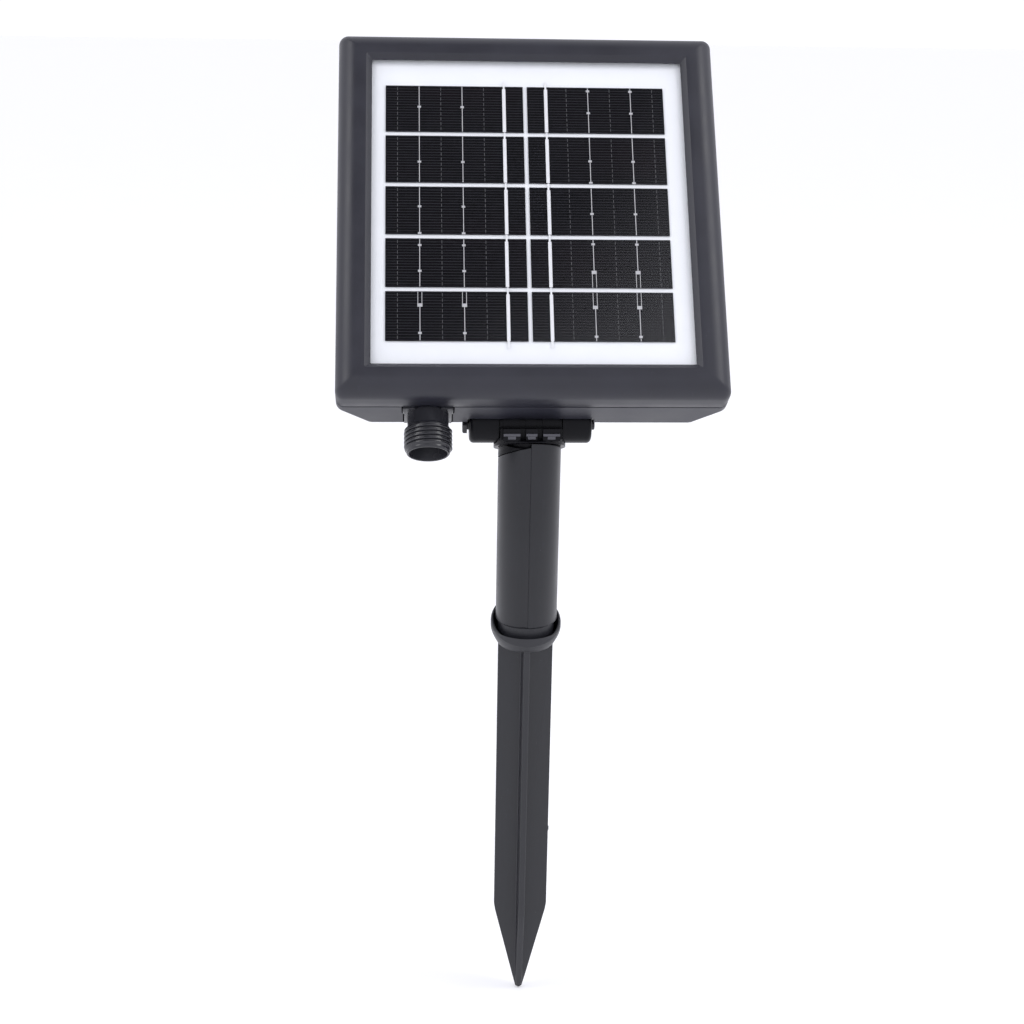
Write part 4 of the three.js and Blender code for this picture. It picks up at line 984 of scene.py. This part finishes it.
def collar():
    """Cup round the pole's foot with its spigot.

    A point of the outline holds its radius, its height, and its share of the rim's oblique cut;
    with a full share the height counts from the rim.
    """
    cup = [(11.6, -1.2, 0), (12.6, -0.2, 0), (13.4, 1.2, 0), (14.3, 2.9, 0), (14.9, 4.2, 0),
           (15.4, 5.8, 0), (COLLAR_R, 7.3, 0.1)]
    rim = [(COLLAR_R, -0.9, 1), (15.5, -0.45, 1), (15.25, -0.12, 1), (14.95, 0, 1), (14.75, 0, 1),
           (14.45, -0.12, 1), (14.27, -0.4, 1), (COLLAR_BORE_R, -0.9, 1)]
    seat = [(COLLAR_BORE_R, 4.4, 0), (13.8, 2.9, 0), (12.9, 1.8, 0), (12.55, 1.9, 0), (12.5, 2.4, 0),
            (12.5, 10.2, 0), (12.2, 10.6, 0), (SPIGOT_R + 0.1, 10.6, 0), (SPIGOT_R, 10.9, 0)]
    spigot = [(SPIGOT_R, 32.6, 0), (10.7, 33.6, 0), (10.1, 34, 0), (8.8, 34, 0), (8.5, 33.6, 0), (8.5, 6, 0)]
    rings = []
    for r, z, share in cup + rim + seat + spigot:
        ring = []
        for a in angles(128):
            x, y = r * math.cos(a), r * math.sin(a)
            ring.append((x, y, z + share * OBLIQUE * y + (COLLAR_RIM if share == 1 else 0)))
        rings.append(ring)
    return skin(rings)


def stake():
    """Collar, blade and a small mark of flash on one fin."""
    made = make("stake", collar())
    flash = rod(0.42, (-94.6, -92.4), (BLADE_HALF - 0.05, -0.2, 0), n=12, edge=0.2)
    combine(made, [blade(), flash], "UNION")
    smooth(made, 34)
    return piece(made, "stake", "stake_black", looks["stake_black"], "ground_stake")


# --------------------------------------------------------------------- camera and studio

CAMERA_AT = (-0.0534, -0.7742, 0.3158)
CAMERA_TURN, CAMERA_TIP, CAMERA_ROLL = -3.43, 18.24, 1.03
LENS = 65.8


def camera():
    """The photo's view: placed, turned, tipped down and rolled."""
    turn, tip, roll = (math.radians(a) for a in (CAMERA_TURN, CAMERA_TIP, CAMERA_ROLL))
    right = Vector((math.cos(turn), math.sin(turn), 0))
    ahead = Vector((-math.sin(turn) * math.cos(tip), math.cos(turn) * math.cos(tip), -math.sin(tip)))
    up = right.cross(ahead)
    x = right * math.cos(roll) + up * math.sin(roll)
    y = up * math.cos(roll) - right * math.sin(roll)
    axes = Matrix((x, y, -ahead)).transposed().to_4x4()
    data = bpy.data.cameras.new("camera")
    data.lens = LENS
    data.sensor_width = 36.0
    made = bpy.data.objects.new("camera", data)
    bpy.context.scene.collection.objects.link(made)
    made.matrix_world = Matrix.Translation(CAMERA_AT) @ axes
    bpy.context.scene.camera = made


def soft_box(name, x, power):
    """Tall soft box beside and above the object, aimed at the panel."""
    at, target = Vector((x, -0.25, 1.1)), Vector((0, -0.05, 0.13))
    data = bpy.data.lights.new(name, "AREA")
    data.shape = "RECTANGLE"
    data.size, data.size_y = 0.4, 0.9
    data.energy = power
    made = bpy.data.objects.new(name, data)
    bpy.context.scene.collection.objects.link(made)
    made.location = at
    made.rotation_mode = "QUATERNION"
    made.rotation_quaternion = (target - at).to_track_quat("-Z", "Y")


FLOOR_GAP = 0.4                           # below the stake's tip


def floor():
    """Pale floor that shows only from above."""
    s = Shader("floor")
    tone = s.mix(s.noise(s.point(), 60), (0.90, 0.90, 0.905), (0.92, 0.92, 0.925))
    pale = s.add("BsdfDiffuse", {"Color": tone})
    clear = s.add("BsdfTransparent")
    glow = s.add("Emission", {"Color": tone, "Strength": 0.12})
    lit = s.add("AddShader", {0: pale.outputs[0], 1: glow.outputs[0]})
    under = s.add("NewGeometry").outputs["Backfacing"]
    s.close(s.add("MixShader", {0: under, 1: lit.outputs[0], 2: clear.outputs[0]}).outputs[0])
    bm = bmesh.new()
    bmesh.ops.create_grid(bm, x_segments=1, y_segments=1, size=6)
    made = make("floor", bm, Matrix.Translation((0, 0, (TIP - FLOOR_GAP) * MM)))
    made.data.materials.append(s.material)


DARK_TOP = Vector((-0.12, -0.25, 0.96)).normalized()      # middle of the dark patch
DARK_EDGE = (0.932, 0.966)                # cosines from its middle between which it fades in
DARK, WHITE, WORLD_POWER = (0.10, 0.10, 0.11, 1), (0.985, 0.99, 1.06, 1), 1.06


def studio():
    """White surroundings with a dark patch overhead, and two soft boxes."""
    world = bpy.data.worlds.new("studio")
    bpy.context.scene.world = world
    world.use_nodes = True
    tree = world.node_tree
    spot = tree.nodes.new("ShaderNodeTexCoord")
    near = tree.nodes.new("ShaderNodeVectorMath")
    near.operation = "DOT_PRODUCT"
    near.inputs[1].default_value = DARK_TOP
    tree.links.new(spot.outputs["Generated"], near.inputs[0])
    ramp = tree.nodes.new("ShaderNodeMapRange")
    ramp.interpolation_type = "SMOOTHSTEP"
    for key, value in zip(("From Min", "From Max", "To Min", "To Max"), (*DARK_EDGE, 1.0, 0.0)):
        ramp.inputs[key].default_value = value
    tree.links.new(near.outputs["Value"], ramp.inputs[0])
    blend = tree.nodes.new("ShaderNodeMix")
    blend.data_type = "RGBA"
    blend.inputs[6].default_value = DARK
    blend.inputs[7].default_value = WHITE
    tree.links.new(ramp.outputs[0], blend.inputs[0])
    back = tree.nodes["Background"]
    tree.links.new(blend.outputs[2], back.inputs[0])
    back.inputs[1].default_value = WORLD_POWER
    soft_box("left_box", -0.95, 3.6)
    soft_box("right_box", 0.95, 4.3)
    bpy.context.scene.view_settings.view_transform = "Standard"


dress_nodes()
camera()
studio()
floor()
bezel()
shell()
outlet()
cell_lines()
bracket()
fasteners()
head()
head_ledges()
tube()
stake()
